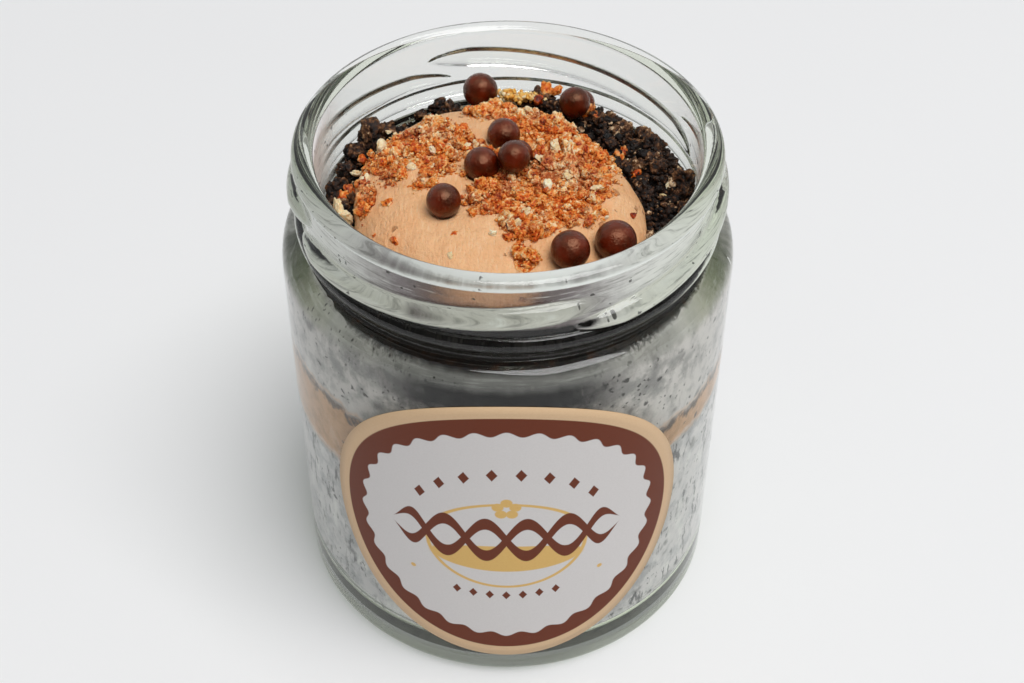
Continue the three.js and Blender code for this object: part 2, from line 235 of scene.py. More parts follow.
class Maker:
    """Builds the nodes of one material, or of the world."""

    def __init__(self, name, world=False):
        self.material = (bpy.data.worlds if world else bpy.data.materials).new(name)
        self.material.use_nodes = True
        self.tree = self.material.node_tree
        self.tree.nodes.clear()
        self.end = self.tree.nodes.new("ShaderNodeOutputWorld" if world else "ShaderNodeOutputMaterial")

    def node(self, kind, settings=None, sockets=None):
        """A node of a type, with its settings first and then its sockets' values or links."""
        made = self.tree.nodes.new(kind)
        for name, value in (settings or {}).items():
            if name == "stops":
                self.set_stops(made.color_ramp, value)
            else:
                setattr(made, name, value)
        for name, value in (sockets or {}).items():
            self.feed(made.inputs[name], value)
        return made

    def set_stops(self, ramp, stops):
        while len(ramp.elements) < len(stops):
            ramp.elements.new(1)
        for element, (position, shade) in zip(ramp.elements, stops):
            element.position = position
            element.color = colour(shade)

    def feed(self, socket, value):
        if isinstance(value, Field):
            value = value.socket
        if isinstance(value, bpy.types.NodeSocket):
            self.tree.links.new(value, socket)
        else:
            socket.default_value = value

    def math(self, operation, *values):
        node = self.node("ShaderNodeMath", {"operation": operation}, dict(enumerate(values)))
        return Field(self, node.outputs[0])

    def vector(self, operation, *values):
        node = self.node("ShaderNodeVectorMath", {"operation": operation}, dict(enumerate(values)))
        return node.outputs["Vector"]

    def mix(self, factor, first, second, blend_type="MIX"):
        """Two colours or codes mixed: first where the factor is 0 and second where it is 1."""
        settings = {"data_type": "RGBA", "blend_type": blend_type}
        sockets = {0: factor, 6: colour(first), 7: colour(second)}
        return self.node("ShaderNodeMix", settings, sockets).outputs[2]

    def ramp(self, factor, stops):
        """The colour at a factor from 0 to 1 between stops, each a position and a colour's code."""
        return self.node("ShaderNodeValToRGB", {"stops": stops}, {0: factor}).outputs["Color"]

    def place(self, stretch=(1, 1, 1)):
        """The place on the piece in millimetres, stretched along the axes."""
        base = self.node("ShaderNodeTexCoord").outputs["Object"]
        return self.vector("MULTIPLY", base, tuple(1 / (MM * part) for part in stretch))

    def axes(self, vector):
        parts = self.node("ShaderNodeSeparateXYZ", None, {0: vector}).outputs
        return [Field(self, part) for part in parts]

    def attribute(self, name):
        node = self.node("ShaderNodeAttribute", {"attribute_name": name})
        return Field(self, node.outputs["Fac"])

    def noise(self, place, size, detail=2.0, roughness=0.5, distortion=0.0):
        """Soft noise from 0 to 1 with lumps of a size in millimetres."""
        sockets = {
            "Vector": place,
            "Scale": 1 / size,
            "Detail": detail,
            "Roughness": roughness,
            "Distortion": distortion,
        }
        return Field(self, self.node("ShaderNodeTexNoise", None, sockets).outputs["Fac"])

    def turn(self):
        """The azimuth in degrees."""
        x, y = self.axes(self.place())[:2]
        return x.math("ARCTAN2", -y) * math.degrees(1)

    def brushed(self):
        """Soft noise drawn out along the glass, as a spoon leaves it."""
        z = self.axes(self.place())[2]
        along = self.node("ShaderNodeCombineXYZ", None, {0: self.turn() * 0.09, 1: z * 2.2, 2: 0.0})
        return self.noise(along.outputs[0], 1.0, 5, 0.68)

    def cells(self, place, size):
        """Grains of a size in millimetres: a tone from 0 to 1 for each, and the distance from its middle."""
        node = self.node("ShaderNodeTexVoronoi", None, {"Vector": place, "Scale": 1 / size})
        tone = self.node("ShaderNodeSeparateColor", None, {0: node.outputs["Color"]}).outputs["Red"]
        return Field(self, tone), Field(self, node.outputs["Distance"])

    def warped(self, place, size, depth):
        """A place pushed about by soft noise, which makes the shapes drawn there ragged."""
        sockets = {"Vector": place, "Scale": 1 / size, "Detail": 3.0}
        push = self.node("ShaderNodeTexNoise", None, sockets).outputs["Color"]
        push = self.vector("SUBTRACT", push, (0.5, 0.5, 0.5))
        return self.vector("ADD", place, self.vector("MULTIPLY", push, (depth, depth, depth)))

    def specks(self, place, size, share, soft=0.1):
        """Spots of uneven sizes, one in each cell of a size in millimetres; share is how many show."""
        chance, distance = self.cells(place, size)
        reach = (chance.rise(1 - share, 1) * 0.3 + 0.12) * chance.rise(1 - share, 1 - share + 0.02)
        return (distance - reach).rise(0, -soft)

    def rays(self, *kinds):
        """1 for rays of the named kinds and 0 for all others."""
        path = self.node("ShaderNodeLightPath").outputs
        found, *others = [Field(self, path[f"Is {kind} Ray"]) for kind in kinds]
        for other in others:
            found = found.most(other)
        return found

    def bump(self, height, depth):
        """A normal from a height from 0 to 1 and its depth in metres."""
        return self.node("ShaderNodeBump", None, {"Height": height, "Distance": depth}).outputs["Normal"]

    def surface(self, **sockets):
        """Ends the material in a Principled shader."""
        named = {
            name.replace("_", " ").title().replace("Ior", "IOR"): value for name, value in sockets.items()
        }
        shader = self.node("ShaderNodeBsdfPrincipled", None, named)
        self.tree.links.new(shader.outputs[0], self.end.inputs["Surface"])


def steps_round(count):
    """The azimuths of even steps round the axis."""
    return np.arange(count) * FULL_TURN / count


def around(radius, azimuths):
    """x and y at a radius and azimuths."""
    return radius * np.sin(azimuths), -radius * np.cos(azimuths)


def on_floor(x, y):
    """Points on the floor under x and y, in one list."""
    return np.stack([x, y, np.zeros(np.shape(x))], -1).reshape(-1, 3)


def fine_noise(points, size, seed=0.0, octaves=1):
    """Noise from -1 to 1 at points, with lumps of a size in metres."""
    shift = Vector((seed, 1.7 * seed, -seed))
    values = np.zeros(len(points))
    share = 1.0
    for octave in range(octaves):
        scale = 2**octave / size
        values += share * np.array([noise.noise(Vector(point) * scale + shift) for point in points])
        share *= 0.5
    return values


def cell_noise(points, size, seed=0.0):
    """Round grains of a size in metres: 1 in the middle of each and lower between them."""
    shift = Vector((seed, 1.7 * seed, -seed))
    return 1 - np.array([noise.voronoi(Vector(point) / size + shift)[0][0] for point in points])


def smooth_step(values, low, high):
    share = np.clip((values - low) / (high - low), 0, 1)
    return share * share * (3 - 2 * share)


def arc(radius, height, half_width, half_height, start, end, steps):
    """Points on an ellipse's arc, between two angles in degrees, as radius and height."""
    angles = np.radians(np.linspace(start, end, steps + 1))
    return [(radius + half_width * math.cos(a), height + half_height * math.sin(a)) for a in angles]


def full_arc(radius, height, half_width, half_height, fullness, steps):
    """Points on a quarter of an ellipse, from its side to its top, that is squarer than round."""
    angles = np.linspace(0, math.pi / 2, steps + 1)
    out = half_width * np.maximum(np.cos(angles), 0) ** (2 / fullness)
    up = half_height * np.sin(angles) ** (2 / fullness)
    return list(zip(radius + out, height + up))


def ring_points(rings, centre=(0.0, 0.0)):
    """Places of rings, each a pair of radius and height that are numbers or one for each column."""
    columns = max(np.size(part) for ring in rings for part in ring)
    azimuths = steps_round(columns)
    points = np.zeros((len(rings), columns, 3))
    for row, (radius, height) in enumerate(rings):
        x, y = around(radius, azimuths)
        points[row, :, 0] = centre[0] + x
        points[row, :, 1] = centre[1] + y
        points[row, :, 2] = height
    return points


def ring_faces(rows, columns):
    """Faces between rings, closed by a pole below (vertex 0) and one above (the last vertex)."""
    faces = []
    for column in range(columns):
        following = (column + 1) % columns
        faces.append((0, 1 + following, 1 + column))
        for row in range(rows - 1):
            low = 1 + row * columns
            faces.append((low + column, low + following, low + columns + following, low + columns + column))
        top = 1 + (rows - 1) * columns
        faces.append((top + column, top + following, rows * columns + 1))
    return faces


def round_mesh(subdivisions, radius):
    """Points and faces of a ball of triangles."""
    ball = bmesh.new()
    bmesh.ops.create_icosphere(ball, subdivisions=subdivisions, radius=radius)
    points = np.array([vert.co for vert in ball.verts])
    faces = np.array([[vert.index for vert in face.verts] for face in ball.faces])
    ball.free()
    return points, faces


def make_object(name, vertices, faces, material, slot, tones=None):
    """A mesh object that rides on the dessert's one body; tones are numbers kept at its vertices."""
    mesh = bpy.data.meshes.new(name)
    mesh.from_pydata(np.asarray(vertices).tolist(), [], faces)
    for key, values in (tones or {}).items():
        mesh.attributes.new(key, "FLOAT", "POINT").data.foreach_set("value", np.asarray(values, np.float32))
    mesh.polygons.foreach_set("use_smooth", [True] * len(mesh.polygons))
    mesh.materials.append(material)
    mesh.validate()
    piece = bpy.data.objects.new(name, mesh)
    bpy.context.scene.collection.objects.link(piece)
    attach(piece, BODY)
    return piece


def make_rings(name, rings, below, above, material, slot, tones=None):
    """A closed piece of rings round the axis, from a pole at the height below to one at the height above."""
    points = ring_points(rings)
    rows, columns = points.shape[:2]
    vertices = np.concatenate([[(0, 0, below)], points.reshape(-1, 3), [(0, 0, above)]])
    values = tones(vertices) if tones else None
    return make_object(name, vertices, ring_faces(rows, columns), material, slot, values)


# Heights, radii and roundings of the glass's profile, from the base up
BASE_RING_RADIUS = 27.5 * MM
PUSH_UP = 1 * MM
HEEL = 2.8 * MM
INNER_HEEL = 3.5 * MM
SHOULDER_LOW = 66.5 * MM
SHOULDER_RISE = 5.8 * MM
SHOULDER_FULLNESS = 2.6
INNER_SHOULDER_LOW = 66 * MM
INNER_SHOULDER_HIGH = 74 * MM
GROOVE_RADIUS = 32.1 * MM
BEAD_MIDDLE = 75.65 * MM
BEAD_DEPTH = 1.3 * MM
BEAD_HALF_HEIGHT = 1.45 * MM
NECK_LOW = 77.2 * MM
NECK_HIGH = 85.9 * MM
LIP_RADIUS = 33 * MM
LIP_HALF_HEIGHT = 1.2 * MM

# The thread lugs: where the first one starts and how far each goes round in degrees, how it rises, the
# share of its length that tapers at each end, and how full its section is
LUGS = 4
LUG_START = 18
LUG_SPAN = 97
LUG_LOW = 77.9 * MM
LUG_RISE = 4.2 * MM
LUG_HALF_HEIGHT = 1.9 * MM
LUG_TAPER = 0.13
LUG_FULLNESS = 0.6

GLASS_IOR = 1.46
GLASS_DENSITY = 60.0

# Heights in millimetres between which the clear glass turns into the tinted heel
HEEL_TINT = (5.6, 4.6)


def inner_radius_at(jar, heights):
    """The glass's inner radius at heights: body with a round heel, S-shaped shoulder, straight neck."""
    heights = np.asarray(heights, float)
    rise = np.clip((heights - INNER_SHOULDER_LOW) / (INNER_SHOULDER_HIGH - INNER_SHOULDER_LOW), 0, 1)
    swing = (1 + np.cos(math.pi * rise)) / 2
    above = jar.inner_neck_radius + (jar.inner_radius - jar.inner_neck_radius) * swing
    sink = np.clip(jar.floor_height + INNER_HEEL - heights, 0, INNER_HEEL)
    return above - INNER_HEEL + np.sqrt(INNER_HEEL**2 - sink**2)


def glass_material(jar):
    """Clear glass that lets soft light through, greenish where it is thick and at its heel."""
    maker = Maker("clear_glass")
    z = maker.axes(maker.place())[2]
    bands = maker.noise(maker.place((30, 30, 1)), 0.7, 2)
    heel_tone = maker.mix(bands.rise(0.35, 0.65), (0.72, 0.79, 0.56, 1), (0.98, 1.0, 0.86, 1))
    shader = maker.node("ShaderNodeBsdfPrincipled", None, {
        "Base Color": maker.mix(z.rise(*HEEL_TINT), (1, 1, 1, 1), heel_tone),
        "Roughness": 0.0,
        "IOR": GLASS_IOR,
        "Transmission Weight": 1.0,
    })
    clear = maker.node("ShaderNodeBsdfTransparent", None, {"Color": (0.97, 0.98, 0.975, 1)})
    light = maker.rays("Shadow", "Diffuse")
    both = maker.node("ShaderNodeMixShader", None, {0: light, 1: shader.outputs[0], 2: clear.outputs[0]})
    volume = maker.node(
        "ShaderNodeVolumeAbsorption", None, {"Color": tuple(jar.tint), "Density": GLASS_DENSITY}
    )
    maker.tree.links.new(both.outputs[0], maker.end.inputs["Surface"])
    maker.tree.links.new(volume.outputs[0], maker.end.inputs["Volume"])
    return maker.material


def lug_relief(jar, azimuths, height):
    """How far the rising thread lugs stand out of the neck at a height."""
    start, span = math.radians(LUG_START), math.radians(LUG_SPAN)
    relief = np.zeros(len(azimuths))
    for index in range(LUGS):
        along = ((azimuths - start - index * FULL_TURN / LUGS) % FULL_TURN) / span
        near_end = np.clip(np.minimum(along, 1 - along) / LUG_TAPER, 0, 1)
        size = np.sqrt(near_end)
        middle = LUG_LOW + LUG_RISE * along
        offset = (height - middle) / np.maximum(LUG_HALF_HEIGHT * size, 1e-6)
        bulge = np.clip(1 - offset**2, 0, 1) ** LUG_FULLNESS
        relief = np.maximum(relief, jar.lug_depth * size * bulge * (along <= 1))
    return relief


def jar_rings(jar):
    """The jar's rings, from the middle of its base up the outside, over the lip and down the inside."""
    body, neck, inner_neck = jar.body_radius, jar.neck_radius, jar.inner_neck_radius
    rings = [(share * BASE_RING_RADIUS, PUSH_UP * (1 - share**3)) for share in np.linspace(0.1, 1, 10)]
    rings += arc(body - HEEL, HEEL, HEEL, HEEL, -90, 0, 12)
    rings += [(body, height) for height in np.linspace(4 * MM, SHOULDER_LOW, 12)[1:-1]]
    rings += full_arc(GROOVE_RADIUS, SHOULDER_LOW, body - GROOVE_RADIUS, SHOULDER_RISE, SHOULDER_FULLNESS, 32)
    rings += arc(GROOVE_RADIUS, BEAD_MIDDLE, BEAD_DEPTH, BEAD_HALF_HEIGHT, -84, 78, 18)
    azimuths = steps_round(jar.columns)
    heights = np.linspace(NECK_LOW, NECK_HIGH, 62)
    rings += [(neck + lug_relief(jar, azimuths, height), height) for height in heights]
    lip_half_width = (LIP_RADIUS - inner_neck) / 2
    lip_middle = jar.height - LIP_HALF_HEIGHT
    rings += arc(inner_neck + lip_half_width, lip_middle, lip_half_width, LIP_HALF_HEIGHT, -48, 180, 26)
    rings += [(inner_neck, height) for height in np.linspace(85 * MM, 75 * MM, 5)]
    heights = np.linspace(INNER_SHOULDER_HIGH, INNER_SHOULDER_LOW, 18)
    rings += list(zip(inner_radius_at(jar, heights), heights))
    rings += [(jar.inner_radius, height) for height in np.linspace(60 * MM, 12 * MM, 6)]
    bend = jar.floor_height + INNER_HEEL
    rings += arc(jar.inner_radius - INNER_HEEL, bend, INNER_HEEL, INNER_HEEL, 0, -90, 10)
    return rings + [(jar.inner_radius * share, jar.floor_height) for share in (0.6, 0.3)]


class DESSERT_OT_glass_jar(bpy.types.Operator):
    """Build the clear glass jar with its four thread lugs"""

    bl_idname = "dessert.glass_jar"
    bl_label = "Glass Jar"

    def execute(self, context):
        jar = context.scene.dessert_jar
        glass = glass_material(jar)
        piece = make_rings("clear_jar", jar_rings(jar), PUSH_UP, jar.floor_height, glass, "jar_glass")
        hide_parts("glass_jar")
        return {"FINISHED"}


# The dip of the border under the dark crumbs, as its depth in millimetres and its half width in degrees
DIP_DEPTH = 6.5
DIP_WIDTH = 27

# The uneven steps of every border: their size, and the radius at which they are measured
STEP_SIZE = 2.6 * MM
STEP_RADIUS = 33 * MM


def lower_border(filling, azimuths):
    """The border over the lower cream, which is highest on the right."""
    return filling.lower_top + MM * (2.9 * np.sin(azimuths) + 0.6 * np.sin(3 * azimuths + 1))


def tan_border(filling, azimuths):
    """The border over the tan cream, which is highest on the left."""
    return filling.tan_top + MM * (0.5 * np.sin(5 * azimuths) - 1.3 * np.sin(azimuths))


def crumb_border(filling, azimuths):
    """The border under the dark crumbs, which dips in front."""
    turn = (np.degrees(azimuths) + 180) % 360 - 180
    dip = DIP_DEPTH * np.exp(-((turn / DIP_WIDTH) ** 2))
    return filling.crumbs_low + MM * (0.3 * np.sin(4 * azimuths) - dip)


def ragged(border, azimuths, depth, seed):
    """A border with small uneven steps."""
    circle = on_floor(np.sin(azimuths), np.cos(azimuths)) * STEP_RADIUS
    return border + depth * fine_noise(circle, STEP_SIZE, seed, 3)


DUSK_TONES = (
    (0.3, 0x040404), (0.5, 0x0B0A0A), (0.62, 0x1A1918), (0.78, 0x66625E),
)
# Colours of the painted shoulder reflection, from the front (0) to the sides (1): grey highlight, then olive
# glass sheen
SHOULDER_GLINT_TONES = (
    (0.0, 0xA4A2A2), (0.3, 0x9E9C9A), (0.42, 0x8A8884), (0.56, 0xB6B4B0), (0.68, 0xA0A08E),
    (0.8, 0x566038), (0.94, 0x303A14),
)


def shoulder_glint_ring(maker):
    """Painted reflection on the filling under the shoulder: the glass's grey highlight in front and olive
    sheen at the sides, as a ring: how much it shows, and its colour.
    """
    place = maker.place()
    z = maker.axes(place)[2]
    uneven = maker.noise(place, 2.0, 4, 0.6) - 0.5
    brushed = maker.brushed()
    side = maker.turn().size()
    # The ring's two edges, in millimetres up; the lower one sinks towards the sides
    ring = (z + uneven * 1.2 + side.rise(20, 60) * 0.8).rise(66.8, 68.6) * (z + uneven * 0.4).rise(69.5, 68.7)
    # Painted reflection colours: grey highlight in front, olive sheen towards the sides
    tone = maker.ramp((side + uneven * 8) / 90, SHOULDER_GLINT_TONES)
    # Pale streaks of painted highlight
    tone = maker.mix(brushed.rise(0.5, 0.72) * 0.5, tone, 0xD8D8D6)
    # Crumb dust in it, only left of the front
    dots = maker.specks(maker.warped(place, 0.5, 0.6), 0.6, 0.7, 0.2) * maker.turn().rise(-4, -22)
    tone = maker.mix(dots * side.rise(72, 58) * 0.9, tone, 0x100D0C)
    return ring * (brushed * 1.1 + 0.35).clipped() * (0.7 + side.rise(30, 70) * 0.25), tone


# Where the dusk under the shoulder sets in, in degrees from the front and in millimetres up
DUSK_SIDES = (38, 17)
DUSK_HEIGHTS = (61.0, 64.5)


def front_dusk(maker, clouds):
    """How much the filling darkens, nearly to black, under the middle of the shoulder."""
    z = maker.axes(maker.place())[2]
    side = (maker.turn() + 2).size() + (clouds - 0.5) * 30
    return side.rise(*DUSK_SIDES) * (z + (clouds - 0.5) * 4).rise(*DUSK_HEIGHTS)


def cream_tone(maker, base, shade, speck, crowd, streaks, top_dust, near_top):
    """A soft cream seen through glass: cloudy shades, painted shade towards the left, upright streaks and
    dark specks.
    """
    place = maker.place()
    z = maker.axes(place)[2]
    turn = maker.turn()
    # How far towards the left, where the cream gets painted shade away from the key light on the right
    left = turn.rise(45, -50)
    ragged_place = maker.warped(place, 1.2, 1.5)
    upright = maker.warped(maker.place((1, 1, 3.0)), 1.4, 1.2)
    clouds = maker.noise(place, 3.4, 5, 0.62)
    dusk = front_dusk(maker, clouds)
    # Cloudy shades, with painted shade that darkens the cream towards the left, away from the key light, then
    # pale and dark streaks
    tone = maker.mix((clouds.rise(0.42, 0.68) * 0.75 + left * 0.3).clipped(), base, shade)
    pale = maker.noise(upright, 2.4, 3, 0.6).rise(0.5, 0.75)
    tone = maker.mix(pale * (0.1 + streaks * 0.35), tone, 0xFAFAF6)
    patches = maker.noise(place, 6, 2).rise(0.4, 0.56)
    streak = maker.noise(upright, 1.3, 4, 0.62).rise(0.52, 0.62) * patches
    tone = maker.mix(streak * streaks, tone, maker.mix(0.7, shade, speck))
    # Grey dust on both sides of the dusk
    beside_dusk = turn.size().rise(62, 34) * (z + clouds * 3).rise(59.5, 64.5)
    tone = maker.mix(beside_dusk * clouds.rise(0.36, 0.56) * 0.5, tone, 0x646262)
    # Specks of two sizes and larger smudges, which crowd together
    thick = maker.noise(place, 4.5, 2).rise(0.38, 0.6).most(near_top * 0.9).most(beside_dusk)
    fine = maker.specks(ragged_place, 0.8, crowd, 0.2)
    middling = maker.specks(ragged_place, 1.7, crowd, 0.22)
    smudges = maker.specks(maker.warped(place, 2.0, 2.4), 3.6, crowd * 0.8, 0.35)
    spots = fine.most(middling) * thick
    tone = maker.mix((smudges * 0.6).most(spots * 0.85), tone, speck)
    # Dust that has sunk in from the layer above, and the dusk over all of it
    dust = near_top + (maker.noise(place, 1.8, 4, 0.65) - 0.5) * 2.6
    tone = maker.mix(dust.rise(0.45, 1.1) * top_dust, tone, speck)
    gloom = maker.ramp(maker.noise(upright, 1.6, 4, 0.65), DUSK_TONES)
    return maker.mix(dusk * 0.98, tone, gloom)


def cream_looks(filling):
    """The colours of each cream, how many specks and streaks it has, and the dust near its top."""
    return {
        "lower_cream": {
            "base": tuple(filling.lower_colour), "shade": 0xACACB0, "speck": 0x303030,
            "crowd": 0.3, "streaks": 1.0, "top_dust": 0.35,
        },
        "tan_cream": {
            "base": tuple(filling.tan_colour), "shade": 0xAC8258, "speck": 0x4A4038,
            "crowd": 0.06, "streaks": 0.0, "top_dust": 0.9,
        },
        "upper_cream": {
            "base": tuple(filling.upper_colour), "shade": 0x989696, "speck": tuple(filling.speck_colour),
            "crowd": 0.5, "streaks": 0.2, "top_dust": 0.2,
        },
    }


def cream_material(name, look, over, under):
    """A cream whose borders run softly into the colours over and under it."""
    maker = Maker(name)
    place = maker.place()
    below = maker.attribute("below")
    tone = cream_tone(maker, near_top=below.rise(4.5 * MM, 0.3 * MM), **look)
    uneven = (maker.noise(place, 1.5, 4, 0.6) - 0.5) * 2.4
    for distance, beyond in ((below, over), (maker.attribute("above"), under)):
        if beyond != look["base"]:
            tone = maker.mix((distance / MM + uneven).rise(1.1, -0.4) * 0.55, tone, beyond)
    # The painted shoulder reflection over the cream
    glint, glint_tone = shoulder_glint_ring(maker)
    maker.surface(
        base_color=maker.mix(glint, tone, glint_tone),
        roughness=0.55,
        specular_ior_level=0.05,
        normal=maker.bump(maker.noise(place, 0.7, 3), 0.08 * MM),
    )
    return maker.material


# Shares of a filling's height where it has a ring of points at the glass, with two close ones at a border
FILLING_STEPS = (0, 0.002, *np.linspace(0.07, 0.93, 12), 0.998, 1)
BED_STEPS = (0, 0.002, *np.linspace(0.1, 1, 12))
FILLING_COLUMNS = 320


def make_filling(jar, filling, node, material, borders, middles):
    """A layer between two borders that reaches just into the glass, with its heights on the axis."""
    (low, high), (low_middle, high_middle) = borders, middles
    rings = [(jar.inner_radius * 0.5, (low_middle + np.mean(low)) / 2)]
    for step in FILLING_STEPS:
        height = low + (high - low) * step
        rings.append((inner_radius_at(jar, height) + filling.reach, height))
    rings.append((jar.inner_radius * 0.5, (high_middle + np.mean(high)) / 2))

    def tones(vertices):
        top = np.concatenate([[high_middle], np.tile(high, len(rings)), [high_middle]])
        bottom = np.concatenate([[low_middle], np.tile(low, len(rings)), [low_middle]])
        return {"below": top - vertices[:, 2], "above": vertices[:, 2] - bottom}

    piece = make_rings(f"{node}_layer", rings, low_middle, high_middle, material, node, tones)
    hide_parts(node)


class DESSERT_OT_fillings(bpy.types.Operator):
    """Build the three layers of cream that show through the glass"""

    bl_idname = "dessert.fillings"
    bl_label = "Fillings"

    def execute(self, context):
        jar = context.scene.dessert_jar
        filling = context.scene.dessert_filling
        azimuths = steps_round(FILLING_COLUMNS)
        floor = jar.floor_height - filling.reach
        borders = (
            np.full(FILLING_COLUMNS, floor),
            ragged(lower_border(filling, azimuths), azimuths, 0.5 * MM, 1),
            ragged(tan_border(filling, azimuths), azimuths, 0.7 * MM, 2),
            ragged(crumb_border(filling, azimuths), azimuths, 0.3 * MM, 3),
        )
        middles = (floor, filling.lower_top, filling.tan_top, filling.crumbs_low)
        looks = cream_looks(filling)
        pale, caramel, grey = [look["base"] for look in looks.values()]
        beyond = ((caramel, pale), (grey, pale), (grey, caramel))
        for index, (node, look) in enumerate(looks.items()):
            material = cream_material(f"{node}_look", look, *beyond[index])
            ends = slice(index, index + 2)
            make_filling(jar, filling, node, material, borders[ends], middles[ends])
        return {"FINISHED"}


DUST_TONES = (
    (0.3, 0x080706), (0.5, 0x14110F), (0.68, 0x2C2A2C), (0.8, 0x565454),
)
FILM_TONES = (
    (0.0, 0x54403A), (0.14, 0x645658), (0.28, 0x8E8488), (0.4, 0xDCD8DA), (0.5, 0xF8F6F6),
    (0.85, 0xFCFCF8),
)

# Painted highlight where the two front lugs look bright, laid on the smear behind them: heights in front in
# millimetres, and their rise in millimetres for each degree
LEFT_LUG_GLINT_HEIGHT = 79.1
RIGHT_LUG_GLINT_HEIGHT = 75.2
LUG_CLIMB = LUG_RISE / MM / LUG_SPAN

FILM_LOW = 72.6 * MM
FILM_HIGH = 87.1 * MM
FILM_DEPTH = 0.05 * MM
FILM_COLUMNS = 192


def neck_smear(maker):
    """What is smeared inside the neck: how thickly it lies and its colour, with dark dust over it, and
    painted highlights of the glass lip and the two front lugs.
    """
    place = maker.place()
    z = maker.axes(place)[2]
    turn = maker.turn()
    streaks = maker.brushed()
    patches = maker.noise(place, 2.6, 4, 0.65)
    uneven = patches - 0.5
    side = (turn + 6).size() + uneven * 12
    along = turn + (maker.noise(place, 5, 3, 0.6) - 0.5) * 14
    # The clearer window in front, the full white band at the lip, a painted highlight of the glass lip, and
    # the dust's top, which sinks to the sides
    window = along.rise(-30, -8) * along.rise(15, -1) * (z + uneven * 3).rise(80.4, 82.4)
    lip = (z + uneven * 0.6).rise(84.3, 85.0)
    middle = (turn + 4).size()
    dust_top = 77.1 - middle.rise(20, 32) * 2.0 - middle.rise(35, 92) * 3.4
    dust = (z - dust_top + uneven * 1.2).rise(0.35, -0.35)
    cream = ((streaks * 0.6 + patches * 0.3 + 0.5).clipped() * 0.96 * (1 - window * 0.68)).most(lip * 0.97)
    tone = maker.ramp(side / 90, FILM_TONES)
    # Painted highlight: white behind the two front lugs, where they look bright
    left_lug_glint = (z - turn * LUG_CLIMB - LEFT_LUG_GLINT_HEIGHT).size().rise(2.1, 1.2) * turn.rise(26, 15)
    right_lug_glint = (z - turn * LUG_CLIMB - RIGHT_LUG_GLINT_HEIGHT).size().rise(2.1, 1.2) * turn.rise(17, 28)
    lug = left_lug_glint.most(right_lug_glint) * (z - dust_top).rise(0, 1)
    tone = maker.mix(lug * 0.8, tone, 0xF4F2EC)
    # Dark and pale streaks, then the window and the lip's painted highlight
    tone = maker.mix(streaks.rise(0.5, 0.34) * 0.5, tone, 0x6E6A68)
    tone = maker.mix(streaks.rise(0.54, 0.7) * 0.7, tone, 0xFAFAF8)
    tone = maker.mix(window * 0.8, tone, 0x7A5444)
    tone = maker.mix(lip * 0.97, tone, 0xFEFEFF)
    dark = maker.ramp(streaks, DUST_TONES)
    return cream.most(dust * 0.95), maker.mix(dust, tone, dark)


def film_material():
    """Cream and dust smeared thinly inside the neck, with painted highlights at the lip and the front lugs,
    and only some dust at the back.
    """
    maker = Maker("neck_film_look")
    place = maker.place()
    z = maker.axes(place)[2]
    side = (maker.turn() + 6).size()
    cover, tone = neck_smear(maker)
    ends = side.rise(112, 84) * z.rise(87.1, 86.8)
    dust = maker.specks(maker.warped(place, 0.7, 0.8), 0.9, 0.16)
    far_dust = dust * z.rise(86.5, 84) * side.rise(125, 90)
    maker.surface(
        base_color=maker.mix(dust * 0.85, tone, 0x2A2320),
        roughness=0.6,
        specular_ior_level=0.05,
        alpha=(cover * ends).most(far_dust * 0.85),
    )
    return maker.material


class DESSERT_OT_neck_film(bpy.types.Operator):
    """Build the thin smear of cream and crumb dust inside the neck, with its painted highlights"""

    bl_idname = "dessert.neck_film"
    bl_label = "Neck Film"

    def execute(self, context):
        jar = context.scene.dessert_jar
        filling = context.scene.dessert_filling
        shoulder = np.linspace(FILM_LOW, INNER_SHOULDER_HIGH, 5)
        heights = np.concatenate([shoulder, np.linspace(75 * MM, FILM_HIGH, 6)])
        radii = inner_radius_at(jar, heights)
        outer = list(zip(radii + filling.reach + 0.01 * MM, heights))
        inner = list(zip(radii - FILM_DEPTH, heights))
        rings = [(np.full(FILM_COLUMNS, radius), height) for radius, height in outer + inner[::-1]]
        points = ring_points(rings)
        rows, columns = points.shape[:2]
        faces = []
        for row in range(rows):
            low, high = row * columns, (row + 1) % rows * columns
            for column in range(columns):
                following = (column + 1) % columns
                faces.append((low + column, low + following, high + following, high + column))
        make_object("neck_film", points.reshape(-1, 3), faces, film_material(), "upper_cream")
        return {"FINISHED"}


# How far the cups pressed by the chocolate balls lie under them
CUP_GAP = 0.25 * MM

# How far the scoop's sides go down under its base, and how far under it the point lies that the scoop's
# lumps stand out from
SCOOP_SKIRT = 2.6 * MM
RELIEF_SINK = 4 * MM

SCOOP_COLUMNS = 560
SCOOP_CENTRE = (-1 * MM, -6 * MM)
SCOOP_REACH = (23.5, 23.3, 22.4, 22.8, 27.7, 27, 22.6, 22.3)
SCOOP_FULLNESS = 3.2


def scoop_reach_at(azimuths):
    """The scoop's reach from its centre, smooth through eight values that are 45 degrees apart."""
    place = (azimuths % FULL_TURN) / FULL_TURN * len(SCOOP_REACH)
    first = np.floor(place).astype(int)
    values = np.array(SCOOP_REACH)
    a, b, c, d = [values[(first + step) % len(values)] for step in (-1, 0, 1, 2)]
    t = place - first
    bend = (2 * a - 5 * b + 4 * c - d) * t**2
    twist = (3 * b - a - 3 * c + d) * t**3
    return MM * 0.5 * (2 * b + (c - a) * t + bend + twist)


def scoop_share(x, y):
    """How far points are from the scoop's centre, as a share of its reach there."""
    across, back = x - SCOOP_CENTRE[0], y - SCOOP_CENTRE[1]
    return np.hypot(across, back) / scoop_reach_at(np.arctan2(across, -back))


def scoop_top(topping, share):
    return topping.scoop_base + topping.scoop_height * np.sqrt(np.clip(1 - share**SCOOP_FULLNESS, 0, 1))


